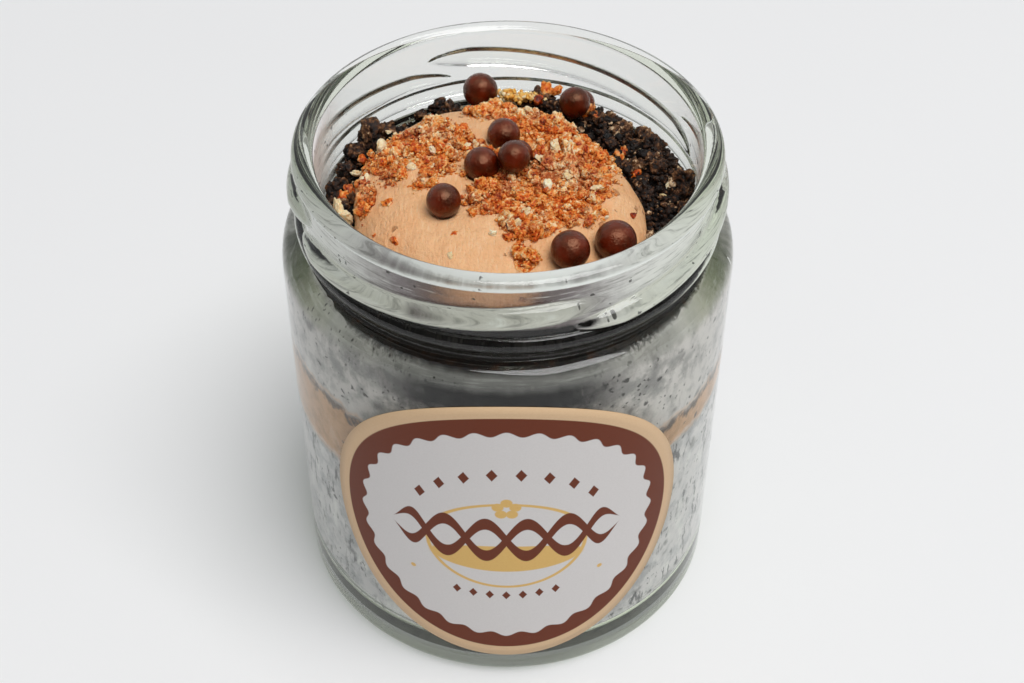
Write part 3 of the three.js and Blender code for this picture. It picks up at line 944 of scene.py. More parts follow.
# Patches of toffee biscuit crumbs on the scoop: x, y, half width and half depth in millimetres
CRUMB_PATCHES = (
    (-14.3, 4.6, 8.3, 9.2), (-21.8, -4.0, 1.6, 4.2), (5.0, -3.2, 10.6, 12.6),
    (-2.6, -8.6, 4.6, 4.4), (2.6, -14.2, 4.6, 3.8), (12.6, 6.0, 6.0, 6.6), (5.0, 12.6, 8.6, 6.4),
    (-2.5, 15.6, 4.8, 5.4), (2.8, -21.3, 1.8, 2.3),
)


def crumb_cover(x, y):
    """How thickly crumbs lie on the scoop at points, from about -1 to 1."""
    cover = np.full(np.shape(x), -1.0)
    for centre_x, centre_y, half_width, half_depth in CRUMB_PATCHES:
        across = (x / MM - centre_x) / half_width
        back = (y / MM - centre_y) / half_depth
        cover = np.maximum(cover, 1 - across**2 - back**2)
    uneven = fine_noise(on_floor(x, y), 4.5 * MM, 7, 2).reshape(np.shape(x))
    return cover + 0.75 * uneven


ROSY_STOPS = (
    (0.0, 0x4E1404), (0.25, 0x8E3614), (0.5, 0xBE6836), (0.75, 0xE2A26C), (1.0, 0xF6D4AA),
)
TOFFEE_STOPS = (
    (0.0, 0x661800), (0.2, 0xAA3A04), (0.38, 0xD45C12), (0.56, 0xE88834), (0.76, 0xF2B06C),
    (1.0, 0xFCE0B4),
)


def toffee_tone(maker, place, tone):
    """The colour of toffee biscuit at a tone from 0 to 1, with zones that are paler, darker or rosier."""
    zones = maker.noise(place, 3.4, 2) - 0.5
    tone = (tone + zones * 0.9).clipped()
    toffee = maker.ramp(tone, TOFFEE_STOPS)
    rosy = maker.ramp(tone, ROSY_STOPS)
    return maker.mix(maker.noise(place, 4.6, 2, 0.5, 0.6).rise(0.5, 0.64) * 0.8, toffee, rosy)


def scoop_material(topping):
    maker = Maker("scoop_cream_look")
    place = maker.place()
    combed = maker.place((1, 5, 5))
    lines = maker.noise(combed, 0.4, 4, 0.65)
    grains = maker.noise(place, 0.4, 4, 0.7)
    clouds = maker.noise(place, 5, 2)
    waves = maker.noise(maker.warped(place, 3, 2), 2.4, 3, 0.55)
    # Combed cream with grains and pits; the pits are darker, partly brown crumbs pressed in and partly
    # painted shade in their hollows
    tone = maker.mix(clouds.rise(0.35, 0.7) * 0.5, tuple(topping.scoop_colour), 0xE8A870)
    tone = maker.mix(grains.rise(0.52, 0.76) * 0.5, tone, tuple(topping.scoop_shade))
    tone = maker.mix(lines.rise(0.54, 0.75) * 0.3, tone, tuple(topping.scoop_shade))
    tone = maker.mix(lines.rise(0.48, 0.3) * 0.35, tone, 0xFADCB4)
    pits = maker.specks(maker.warped(place, 0.8, 1.2), 2.4, 0.24)
    tone = maker.mix(pits * 0.7, tone, 0xAE6830)
    # Fine toffee crumbs where they cover the cream, paler on their raised lumps and peaks as painted light
    # and darker between them as painted shade
    crumbs = maker.attribute("cover")
    shade, distance = maker.cells(maker.warped(place, 0.6, 0.5), 0.4)
    lumps = maker.noise(place, 1.1, 5, 0.7)
    toffee = toffee_tone(maker, place, shade * 0.35 + lumps * 1.7 - 0.52 + maker.attribute("peaks") * 0.35)
    edge = (crumbs + (lumps - 0.5) * 1.6).rise(0.38, 0.55)
    tone = maker.mix(edge, tone, toffee)
    height = lines * 0.9 + grains * 0.8 + waves * 2.2 - pits * 1.6
    height = height * (1 - edge) + (lumps * 2 - distance * 0.6) * edge
    maker.surface(
        base_color=tone,
        roughness=0.5,
        specular_ior_level=0.35,
        subsurface_weight=0.12,
        subsurface_radius=(0.004, 0.002, 0.001),
        subsurface_scale=0.25,
        normal=maker.bump(height, 0.26 * MM),
    )
    return maker.material


def cups(points):
    """Lowers points that would lie inside a chocolate ball to just under it."""
    for name in BALLS:
        centre, radius = ball_at(name)
        radius += CUP_GAP
        offset = points - centre
        flat = np.hypot(offset[:, 0], offset[:, 1])
        inside = (flat < radius) & (offset[:, 2] > -radius)
        floor = centre[2] - np.sqrt(np.clip(radius**2 - flat**2, 0, None))
        points[:, 2] = np.where(inside & (points[:, 2] > floor), floor, points[:, 2])
    return points


def scoop_relief(points, cover):
    """How far the scoop stands out at points, lumpy where crumbs cover it, and where its lumps peak."""
    sway = fine_noise(points, 9 * MM, 4, 2) * 0.5 * MM + fine_noise(points, 2.2 * MM, 5) * 0.1 * MM
    peaks = 0.5 - np.abs(fine_noise(points, 1.3 * MM, 6, 3)) * 1.6
    lumps = fine_noise(points, 1.9 * MM, 8, 2) * 0.6 + peaks * 0.5
    return sway + lumps * MM * cover, peaks


class DESSERT_OT_cream_scoop(bpy.types.Operator):
    """Build the scoop of caramel-coloured cream"""

    bl_idname = "dessert.cream_scoop"
    bl_label = "Cream Scoop"

    def execute(self, context):
        topping = context.scene.dessert_topping
        base = topping.scoop_base
        reach = scoop_reach_at(steps_round(SCOOP_COLUMNS))
        shares = np.sin(np.linspace(0.012, 1, 100) * math.pi / 2)[::-1]
        skirt = base - SCOOP_SKIRT
        rings = [(reach * 0.96, skirt), (reach * 0.99, skirt + 0.6 * MM), (reach, base - 0.5 * MM)]
        rings += [(reach * share, scoop_top(topping, share)) for share in shares]
        points = ring_points(rings, SCOOP_CENTRE)
        rows, columns = points.shape[:2]
        low = [(*SCOOP_CENTRE, skirt)]
        high = [(*SCOOP_CENTRE, scoop_top(topping, np.array(0.0)))]
        vertices = np.concatenate([low, points.reshape(-1, 3), high])
        x, y = vertices[:, 0].copy(), vertices[:, 1].copy()
        cover = smooth_step(crumb_cover(x, y), -0.1, 0.35)
        top = vertices[:, 2] > base
        relief, peaks = scoop_relief(vertices, cover)
        away = vertices - np.array([*SCOOP_CENTRE, base - RELIEF_SINK])
        away /= np.maximum(np.linalg.norm(away, axis=1), 1e-6)[:, None]
        vertices += away * (relief * top)[:, None]
        vertices = cups(vertices)
        piece = make_object(
            "cream_scoop_mound", vertices, ring_faces(rows, columns), scoop_material(topping), "scoop_cream",
            {"cover": cover, "peaks": peaks},
        )
        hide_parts("cream_scoop")
        return {"FINISHED"}


def crumb_shapes(random, count, subdivisions, cuts, rough, rugged=0.0):
    """Angular lumps of about radius 1, each as points with how far they stand out, and the lumps' faces."""
    base, faces = round_mesh(subdivisions, 1)
    shapes = []
    for index in range(count):
        points = base * random.uniform(0.7, 1.3, 3)
        for _ in range(cuts):
            flat = random.normal(size=3)
            flat /= np.linalg.norm(flat)
            over = points @ flat - random.uniform(0.45, 0.85)
            points = points - np.clip(over, 0, None)[:, None] * flat
        push = rough * fine_noise(base, 0.8, 9 * index, 3)
        if rugged:
            push = push + rugged * (0.6 - 2 * np.abs(fine_noise(points, 0.55, 7 * index, 3)))
        peaks = push - push.mean()
        shapes.append((points * (1 + push)[:, None], peaks))
    return shapes, faces


def random_turns(random, count):
    """Rotation matrices that point every way."""
    quaternions = random.normal(size=(count, 4))
    quaternions /= np.linalg.norm(quaternions, axis=1)[:, None]
    return [np.array(Quaternion(quaternion).to_matrix()) for quaternion in quaternions]


# How much paler a crumb's peaks are than its hollows: painted light on the peaks and painted shade in the
# hollows
PEAK_SHADING = 0.7


def scatter(random, kinds):
    """Joined copies of shapes. A kind is its shapes with faces, and the copies' places, sizes and tones."""
    vertices, faces, tones = [], [], []
    total = 0
    for (shapes, shape_faces), places, sizes, shades in kinds:
        turns = random_turns(random, len(places))
        for index, (place, size, shade, turn) in enumerate(zip(places, sizes, shades, turns)):
            points, peaks = shapes[index % len(shapes)]
            vertices.append(points @ turn.T * size + place)
            faces.append(shape_faces + total)
            # Paler at a lump's peaks and darker in its hollows: painted light and shade
            tones.append(shade + peaks * PEAK_SHADING)
            total += len(points)
    return np.concatenate(vertices), np.concatenate(faces).tolist(), np.concatenate(tones)


def keep_inside(jar, filling, points):
    """Presses points that pass the glass flat against it."""
    radii = np.hypot(points[:, 0], points[:, 1])
    limit = inner_radius_at(jar, points[:, 2]) + filling.reach
    factor = np.minimum(1, limit / np.maximum(radii, 1e-9))
    points[:, :2] *= factor[:, None]
    return points


def clear_of_balls(places, sizes, depth=0.35):
    """True for the crumbs that don't reach far into a chocolate ball."""
    clear = np.ones(len(places), bool)
    for name in BALLS:
        centre, radius = ball_at(name)
        clear &= np.linalg.norm(places - centre, axis=1) > radius + sizes * depth
    return clear


def crumb_material(name, stops, roughness, grain, spread, depth, glow=0.0):
    """Crumbs whose tone changes from one to the next, from hollow to peak as painted shade and light, and
    from grain to grain, and that are paler on the lumps that their bumps raise.
    """
    maker = Maker(name)
    place = maker.place()
    shade, distance = maker.cells(maker.warped(place, grain * 1.5, grain), grain)
    lumps = maker.noise(place, grain * 2, 4, 0.7)
    # The tone rises with the same lumps that the bump raises: painted light on them, painted shade between
    tone = maker.attribute("tone") + (shade - 0.5) * spread * 0.7 + (lumps - 0.5) * spread * 2
    shades = toffee_tone(maker, place, tone) if stops == TOFFEE_STOPS else None
    maker.surface(
        base_color=shades or maker.ramp(tone.clipped(), stops),
        roughness=shade * 0.3 + (roughness - 0.15),
        specular_ior_level=0.3,
        subsurface_weight=glow,
        subsurface_radius=(0.0015, 0.0007, 0.0003),
        subsurface_scale=1.0,
        normal=maker.bump(lumps * 1.6 - distance * 0.6, depth),
    )
    return maker.material


PALE_STOPS = (
    (0.0, 0xB8824A), (0.4, 0xE2C290), (0.75, 0xEEDDB8), (1.0, 0xF4E8CC),
)
GOLDEN_STOPS = (
    (0.0, 0xA8560C), (0.4, 0xE09836), (0.75, 0xF6C674), (1.0, 0xFFE8BC),
)

TOFFEE_SEED = 21
GOLDEN_COUNT = 110
TOFFEE_DEPTH = 0.12 * MM

# Where crumbs are tried on the scoop, from left to right and from front to back
CRUMB_SPAN = (-26 * MM, 24 * MM)
CRUMB_DEPTH = (-30 * MM, 23 * MM)

# The crumbs below are x, y, size and height over the scoop or the ring round it, in millimetres
PALE_FLAKES = (
    (-19.7, 5.8, 1.5, 0.8), (-13.4, 8.9, 1.1, 0.9), (-11.6, 2.2, 1.1, 0.8), (-6.6, 3.1, 0.8, 0.6),
    (-22.2, -0.1, 1.1, 0.8), (-14.9, -1.2, 0.8, 0.6), (-24.2, 6.2, 1.0, 1.4),
    (-19.7, 17.3, 0.7, 1.2), (-26.4, -2.9, 1.7, 1.9), (-25.3, -4.4, 1.9, 1.5),
    (-26.4, -6.0, 1.4, 1.2), (4.9, -0.2, 1.0, 0.8), (6.0, -7.3, 1.2, 0.9), (8.9, -4.4, 1.3, 0.9),
    (13.5, -6.0, 1.2, 0.8), (7.4, 3.5, 1.2, 0.8), (1.4, -15.2, 0.8, 0.5), (2.6, -12.6, 0.9, 0.6),
    (3.1, 15.8, 0.8, 0.6), (19.3, 9.5, 0.8, 1.4), (21.5, 12.6, 0.7, 1.2), (25.6, 3.6, 0.9, 1.6),
    (24.4, 1.2, 0.7, 1.2), (14.7, -11.5, 0.5, 0.2), (-8.3, -20.2, 0.8, 0.1),
    (-2.2, -16.7, 0.9, 0.0),
)
LOOSE_CRUMBS = (
    (6.1, 27.4, 1.0, 2.6), (8.0, 26.8, 0.9, 2.8), (5.0, 25.6, 0.9, 1.6), (13.0, 22.6, 1.2, 1.9),
    (14.4, 21.2, 0.9, 1.6), (17.9, 10.8, 1.1, 1.0), (18.7, 12.0, 0.9, 1.0), (20.2, 7.0, 0.9, 1.0),
    (-22.4, -4.0, 1.1, 0.3), (-22.4, -6.2, 0.9, 0.2), (-23.5, 9.6, 0.9, 1.4),
    (-25.0, 2.0, 0.8, 1.4), (-25.8, 0.2, 0.9, 1.2), (-7.9, -16.3, 0.5, -0.2),
    (-16.6, -15.4, 0.7, -0.1), (-18.1, -7.4, 0.8, -0.1), (-19.9, -12.8, 0.4, -0.1),
    (18.9, -8.2, 0.6, -0.1),
)


class DESSERT_OT_biscuit_crumbs(bpy.types.Operator):
    """Scatter toffee biscuit crumbs and pale flakes over the scoop"""

    bl_idname = "dessert.biscuit_crumbs"
    bl_label = "Biscuit Crumbs"

    def places(self, topping, random, count, sizes, threshold):
        """Places on the scoop where crumbs lie thickly enough, with their sizes."""
        x = random.uniform(*CRUMB_SPAN, count * 8)
        y = random.uniform(*CRUMB_DEPTH, count * 8)
        share = scoop_share(x, y)
        keep = (crumb_cover(x, y) > threshold + random.uniform(-0.15, 0.25, len(x))) & (share < 1.02)
        x, y, share = x[keep][:count], y[keep][:count], share[keep][:count]
        size = random.uniform(*sizes, len(x)) * MM
        lift = smooth_step(crumb_cover(x, y), -0.1, 0.35) * random.uniform(0.0, 0.8, len(x)) * MM
        found = np.stack([x, y, scoop_top(topping, share) + lift + size * 0.2], 1)
        clear = clear_of_balls(found, size)
        return found[clear], size[clear]

    def execute(self, context):
        topping = context.scene.dessert_topping
        jar = context.scene.dessert_jar
        filling = context.scene.dessert_filling
        random = np.random.default_rng(TOFFEE_SEED)
        look = crumb_material(
            "toffee_crumb_look", TOFFEE_STOPS,
            roughness=0.45, grain=0.34, spread=0.5, depth=TOFFEE_DEPTH, glow=0.3,
        )
        # Each sort has its shapes, how many lie on the scoop, their sizes and how thick the cover is there
        pieces = {
            "toffee_clumps": (
                (crumb_shapes(random, 12, 4, 3, 0.4, 0.35), 84, (0.65, 1.2), 0.12),
                (crumb_shapes(random, 10, 3, 3, 0.4, 0.3), 260, (0.4, 0.8), 0.0),
            ),
            "toffee_grains": (
                (crumb_shapes(random, 8, 2, 4, 0.35, 0.15), 1000, (0.2, 0.4), -0.05),
                (crumb_shapes(random, 8, 1, 2, 0.3), 3000, (0.08, 0.19), -0.2),
            ),
        }
        for name, sorts in pieces.items():
            kinds = []
            for shapes, count, sizes, threshold in sorts:
                places, size = self.places(topping, random, count, sizes, threshold)
                tones = np.clip(random.normal(0.56, 0.12, len(size)), 0.1, 1)
                kinds.append((shapes, places, size, tones))
            vertices, faces, tones = scatter(random, kinds)
            vertices = keep_inside(jar, filling, vertices)
            make_object(name, vertices, faces, look, "scoop_cream", {"tone": tones})
        self.loose(jar, filling, topping, random)
        return {"FINISHED"}

    def loose(self, jar, filling, topping, random):
        """The flakes and crumbs that stand out one by one, on the scoop and on the ring round it."""
        flakes, faces = crumb_shapes(random, 6, 4, 3, 0.4, 0.15)
        flakes = [(points * (0.85, 0.7, 0.42), peaks) for points, peaks in flakes]
        crumbs = crumb_shapes(random, 6, 3, 3, 0.5, 0.35)
        grit = crumb_shapes(random, 8, 2, 3, 0.4, 0.3)
        looks = {
            name: crumb_material(name, stops, roughness, grain, spread, TOFFEE_DEPTH, 0.2)
            for name, stops, roughness, grain, spread in (
                ("pale_flake_look", PALE_STOPS, 0.55, 0.8, 0.35),
                ("golden_crumb_look", GOLDEN_STOPS, 0.5, 0.5, 0.4),
                ("loose_toffee_look", TOFFEE_STOPS, 0.45, 0.45, 0.4),
            )
        }
        heap = np.stack([
            random.normal(0.8, 2.4, GOLDEN_COUNT),
            random.normal(26.4, 0.7, GOLDEN_COUNT),
            random.uniform(0.25, 0.6, GOLDEN_COUNT),
            random.uniform(1.4, 2.8, GOLDEN_COUNT),
        ], 1)
        for name, shapes, spots, look, low, high in (
            ("pale_flakes", (flakes, faces), PALE_FLAKES, "pale_flake_look", 0.45, 0.8),
            ("golden_crumbs", grit, heap, "golden_crumb_look", 0.35, 0.95),
            ("loose_toffee_crumbs", crumbs, LOOSE_CRUMBS, "loose_toffee_look", 0.2, 0.5),
        ):
            x, y, size, lift = np.array(spots).T * MM
            share = scoop_share(x, y)
            ground = np.where(share < 1, scoop_top(topping, share), topping.scoop_base - 0.2 * MM)
            places = np.stack([x, y, ground + lift], 1)
            tones = random.uniform(low, high, len(size))
            vertices, joined, tones = scatter(random, [(shapes, places, size, tones)])
            vertices = keep_inside(jar, filling, vertices)
            make_object(name, vertices, joined, looks[look], "scoop_cream", {"tone": tones})


# How much the heap rises towards the scoop and over what width, and its hollow: depth in millimetres,
# azimuth and half width in degrees
HEAP_RISE = 1.6
RISE_WIDTH = 5.5 * MM
HOLLOW_DEPTH = 1.4
HOLLOW_AZIMUTH = -148
HOLLOW_WIDTH = 36


def heap_height(jar, topping, x, y):
    """The bumpy top of the dark crumbs, which rises to the scoop and has a hollow at the back on the left."""
    azimuths = np.arctan2(x, -y)
    points = on_floor(x, y)
    rough = 1.3 * fine_noise(points, 3.2 * MM, 11, 3) + 0.5 * cell_noise(points, 0.9 * MM, 12) - 0.4
    rise = HEAP_RISE * np.clip((jar.inner_neck_radius - np.hypot(x, y)) / RISE_WIDTH, 0, 1)
    swell = 0.6 * np.sin(azimuths) + 0.3 * np.cos(3 * azimuths)
    hollow = HOLLOW_DEPTH * np.exp(-(((np.degrees(azimuths) - HOLLOW_AZIMUTH) / HOLLOW_WIDTH) ** 2))
    return topping.heap_height + MM * (swell + rise - hollow + rough.reshape(np.shape(x)))


DARK_STOPS = (
    (0.0, 0x040202), (0.3, 0x120804), (0.5, 0x2A170B), (0.68, 0x50301A), (0.86, 0x8C6645),
    (1.0, 0xD8BC98),
)

# Large dark lumps: azimuth in degrees, distance from the axis, height and size in millimetres
DARK_LUMPS = (
    (-126, 27.9, 76.2, 1.9), (-133, 27.4, 75.8, 1.6), (-117, 28.0, 75.3, 1.4),
    (-109, 27.4, 74.8, 1.5), (-97, 27.2, 75.0, 1.6), (-86, 27.2, 75.4, 1.4),
    (-149, 27.4, 74.6, 1.4), (-155, 27.2, 75.6, 1.8), (-158, 25.4, 75.6, 1.5),
    (173, 26.2, 75.2, 1.3), (168, 27.6, 75.8, 1.6), (163, 25.6, 76.0, 1.5), (143, 27.2, 74.8, 1.6),
    (134, 26.2, 75.6, 1.5), (127, 27.8, 75.4, 1.6), (120, 27.6, 76.0, 1.7), (112, 27.0, 75.4, 1.6),
    (104, 26.6, 75.6, 1.5), (98, 28.2, 76.8, 1.6), (93, 27.4, 76.0, 1.7), (84, 27.2, 75.4, 1.5),
    (74, 26.6, 75.6, 1.4),
)

DARK_SEED = 33

# How far in the bed's top goes under the scoop, and how far the bed sinks there
BED_INNER_RADIUS = 14 * MM
POLE_SINK = 1 * MM


class DESSERT_OT_dark_crumbs(bpy.types.Operator):
    """Build the heap of dark chocolate crumbs round the scoop"""

    bl_idname = "dessert.dark_crumbs"
    bl_label = "Dark Crumbs"

    def bed_look(self, filling):
        """Packed dark crumbs, paler on their raised lumps as painted light, smeared at the neck, with cream
        worked in near their lower border and the painted shoulder reflection over them.
        """
        maker = Maker("dark_bed_look")
        place = maker.place()
        z = maker.axes(place)[2]
        shade, distance = maker.cells(maker.warped(place, 0.8, 0.6), 0.6)
        lumps = maker.noise(place, 1.8, 4, 0.65)
        # Paler where the bump's lumps stand up: painted light on them and painted shade between
        tone = maker.ramp((shade * 0.45 + lumps * 0.9 - 0.5).clipped(), DARK_STOPS)
        cover, smear = neck_smear(maker)
        at_glass = maker.attribute("wall")
        tone = maker.mix(cover * at_glass * z.rise(70.4, 71.4), tone, smear)
        cream = cream_tone(maker, near_top=0.4, **cream_looks(filling)["upper_cream"])
        fringe = maker.noise(place, 0.6, 4, 0.7) - 0.5
        tone = maker.mix((z + fringe * 2.4).rise(69.3, 68.5), tone, cream)
        # The painted shoulder reflection over the crumbs and the cream near their border
        glint, glint_tone = shoulder_glint_ring(maker)
        maker.surface(
            base_color=maker.mix(glint * 0.85, tone, glint_tone),
            roughness=0.6,
            specular_ior_level=0.1,
            normal=maker.bump((lumps - distance) * z.rise(69.6, 71), 0.2 * MM),
        )
        return maker.material

    def bed(self, jar, filling, topping, look):
        """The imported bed, from its border at the glass to its top under the scoop."""
        azimuths = steps_round(FILLING_COLUMNS)
        low = ragged(crumb_border(filling, azimuths), azimuths, 0.3 * MM, 3)
        pole = filling.crumbs_low - POLE_SINK
        rings = [(jar.inner_radius * 0.5, pole)]
        edge = jar.inner_neck_radius + filling.reach
        rim = heap_height(jar, topping, *around(edge, azimuths))
        for step in BED_STEPS:
            height = low + (rim - low) * step
            rings.append((inner_radius_at(jar, height) + filling.reach, height))
        walls = len(rings)
        for radius in np.linspace(edge, BED_INNER_RADIUS, 60)[1:]:
            rings.append((radius, heap_height(jar, topping, *around(radius, azimuths))))
        points = ring_points(rings).reshape(-1, 3)
        vertices = cups(np.concatenate([[(0, 0, pole)], points, [(0, 0, topping.heap_height - POLE_SINK)]]))
        share = scoop_share(vertices[:, 0], vertices[:, 1])
        under = (share < 0.97) & (vertices[:, 2] > filling.crumbs_low + 3 * MM)
        sunk = np.minimum(vertices[:, 2], topping.scoop_base - POLE_SINK)
        vertices[:, 2] = np.where(under, sunk, vertices[:, 2])
        wall = np.concatenate([[0], np.repeat(np.arange(len(rings)) < walls, FILLING_COLUMNS), [0]])
        faces = ring_faces(len(rings), FILLING_COLUMNS)
        piece = make_object("dark_crumb_bed", vertices, faces, look, "dark_crumbs", {"wall": wall})
        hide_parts("dark_crumbs")

    def ring_places(self, jar, topping, random, count, sizes, lift):
        """Places round the scoop, at the heap's top, with their sizes."""
        azimuths = random.uniform(0, FULL_TURN, count * 6)
        radii = np.sqrt(random.uniform((19 * MM) ** 2, (jar.inner_neck_radius - 0.3 * MM) ** 2, count * 6))
        x, y = around(radii, azimuths)
        keep = scoop_share(x, y) > 0.985
        x, y = x[keep][:count], y[keep][:count]
        size = random.uniform(*sizes, len(x)) * MM
        height = heap_height(jar, topping, x, y) + random.uniform(*lift, len(x)) * size
        found = np.stack([x, y, height], 1)
        clear = clear_of_balls(found, size, 0.6)
        return found[clear], size[clear]

    def execute(self, context):
        scene = context.scene
        jar, filling, topping = scene.dessert_jar, scene.dessert_filling, scene.dessert_topping
        random = np.random.default_rng(DARK_SEED)
        look = crumb_material(
            "dark_crumb_look", DARK_STOPS, roughness=0.6, grain=0.45, spread=0.5, depth=0.2 * MM
        )
        self.bed(jar, filling, topping, self.bed_look(filling))
        azimuths, radii, heights, sizes = np.array(DARK_LUMPS).T
        places = np.stack([*around(radii, np.radians(azimuths)), heights], 1) * MM
        lumps = crumb_shapes(random, 10, 4, 2, 0.45, 0.35)
        kinds = [(lumps, places, sizes * MM, random.uniform(0.35, 0.65, len(sizes)))]
        # Each sort has its shapes, how many lie round the scoop, their sizes and how high they lie
        for shapes, count, sizes, lift in (
            (lumps, 20, (1.0, 1.6), (-0.2, 0.5)),
            (crumb_shapes(random, 10, 3, 2, 0.45, 0.3), 170, (0.65, 1.3), (-0.1, 0.8)),
            (crumb_shapes(random, 8, 2, 2, 0.35, 0.1), 620, (0.3, 0.65), (0.2, 2.0)),
            (crumb_shapes(random, 8, 1, 1, 0.2), 1700, (0.13, 0.32), (0.2, 4.5)),
        ):
            places, size = self.ring_places(jar, topping, random, count, sizes, lift)
            tones = np.clip(random.normal(0.41, 0.22, len(size)), 0.05, 1)
            kinds.append((shapes, places, size, tones))
        vertices, faces, tones = scatter(random, kinds)
        vertices = keep_inside(jar, filling, vertices)
        make_object("dark_crumb_chunks", vertices, faces, look, "dark_crumbs", {"tone": tones})
        return {"FINISHED"}


# How far from round the chocolate balls are, as a share of their radius, and the size of their bumps
BALL_UNEVENNESS = 0.012
BALL_BUMPS = 2.6 * MM
BALL_SUBDIVISIONS = 5


class DESSERT_OT_chocolate_balls(bpy.types.Operator):
    """Build the satin chocolate balls"""

    bl_idname = "dessert.chocolate_balls"
    bl_label = "Chocolate Balls"

    def look(self, topping):
        maker = Maker("satin_chocolate")
        place = maker.place()
        clouds = maker.noise(place, 2.5, 2)
        tone = maker.mix(clouds.rise(0.3, 0.7), tuple(topping.ball_colour), 0x360A00)
        dust = maker.noise(place, 0.3, 4, 0.7).rise(0.58, 0.78)
        tone = maker.mix(dust * 0.3, tone, 0x8A4A30)
        height = maker.noise(place, 1.4, 2) + maker.noise(place, 0.4, 4, 0.65) * 0.7
        maker.surface(
            base_color=tone,
            roughness=dust * 0.15 + 0.17,
            specular_ior_level=0.8,
            specular_tint=(1.0, 0.56, 0.34, 1.0),
            normal=maker.bump(height, 0.16 * MM),
        )
        return maker.material

    def execute(self, context):
        topping = context.scene.dessert_topping
        look = self.look(topping)
        for index, name in enumerate(BALLS):
            centre, radius = ball_at(name)
            points, faces = round_mesh(BALL_SUBDIVISIONS, radius)
            points *= (1 + BALL_UNEVENNESS * fine_noise(points, BALL_BUMPS, index, 2))[:, None]
            piece = make_object(f"satin_{name}", points + centre, faces.tolist(), look, "chocolate")
            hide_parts(name)
        return {"FINISHED"}


LABEL_COLUMNS = 192
LABEL_GAP = 0.01 * MM
LABEL_THICKNESS = 0.15 * MM


class Drawing:
    """Soft-edged shapes on the flat label, 1 inside and 0 outside, with sizes in millimetres."""

    soft = 0.12

    def __init__(self, across, up):
        self.across = across
        self.up = up

    def edge(self, distance):
        return distance.rise(self.soft, -self.soft)

    def from_point(self, across, up, wide=1.0, high=1.0):
        side, height = (self.across - across) / wide, (self.up - up) / high
        return (side * side + height * height).root()

    def dot(self, across, up, size):
        return self.edge(self.from_point(across, up) - size)

    def ellipse(self, across, up, wide, high):
        return self.edge((self.from_point(across, up, wide, high) - 1) * high)

    def outline(self, across, up, wide, high, thick):
        return self.edge((self.from_point(across, up, wide, high) - 1).size() * high - thick)

    def diamond(self, across, up, size):
        return self.edge((self.across - across).size() * 1.5 + (self.up - up).size() - size)

    def strand(self, height, step, shift, thick, half_width):
        """A wavy line across the label that tapers at its ends."""
        middle = (self.across * (FULL_TURN / step) + shift).sin() * height
        taper = self.across.size().rise(half_width, half_width - 6)
        return self.edge((self.up - middle * (taper * 0.6 + 0.4)).size() - taper * (thick + 0.2) + 0.2)


def label_drawing(drawing):
    """Its brown and its ochre shapes: a plait over a dish, a flower and rows of small marks."""
    plait = {"height": 3.9, "step": 13, "thick": 1.35, "half_width": 20}
    brown = drawing.strand(shift=0.0, **plait).most(drawing.strand(shift=math.pi, **plait))
    for step in range(8):
        turn = math.radians(90 + (step - 3.5) * 14.5)
        brown = brown.most(drawing.diamond(17.8 * math.cos(turn), 17.8 * math.sin(turn) - 2.2, 1.35))
    for step in range(7):
        across = (step - 3) * 2.7
        brown = brown.most(drawing.diamond(across, 0.012 * across**2 - 14.0, 1.05))
    ochre = drawing.ellipse(0, -4.6, 12.5, 3.2).most(drawing.outline(0, -1.5, 12.8, 10.2, 0.28))
    for step in range(5):
        turn = math.radians(90 + step * 72)
        ochre = ochre.most(drawing.dot(1.45 * math.cos(turn), 7.6 + 1.45 * math.sin(turn), 0.95))
    return brown, ochre.most(drawing.dot(-15.6, -10.2, 0.45)).most(drawing.dot(15.6, -10.2, 0.45))


def label_material(label, jar):
    """The label's print: edge, ring, scalloped field and a plain drawing."""
    maker = Maker("printed_label")
    x, y, z = maker.axes(maker.place())
    middle = (LABEL_LOW.z + LABEL_HIGH.z) / 2 / MM
    across = x.math("ARCTAN2", -y) * (jar.body_radius / MM)
    up = z - middle
    radius = (across * across + up * up).root()
    angle = up.math("ARCTAN2", across)
    drawing = Drawing(across, up)
    ring = drawing.edge(radius - label.ring_radius / MM)
    waves = (angle * label.scallops + math.pi / 2).sin() * (label.scallop_depth / 2 / MM)
    field = drawing.edge(radius - label.field_radius / MM - waves)
    brown, ochre = label_drawing(drawing)
    tone = maker.mix(ring, tuple(label.edge_colour), tuple(label.ring_colour))
    tone = maker.mix(field, tone, tuple(label.field_colour))
    tone = maker.mix(ochre, tone, tuple(label.ochre_colour))
    tone = maker.mix(brown, tone, tuple(label.ring_colour))
    fibre = maker.noise(maker.place(), 0.3, 3, 0.6)
    tone = maker.mix(0.07, tone, maker.ramp(fibre, [(0.3, (0, 0, 0, 1)), (0.7, (1, 1, 1, 1))]), "SOFT_LIGHT")
    maker.surface(
        base_color=tone,
        roughness=fibre * 0.1 + 0.45,
        specular_ior_level=0.25,
        normal=maker.bump(fibre, 0.01 * MM),
    )
    return maker.material


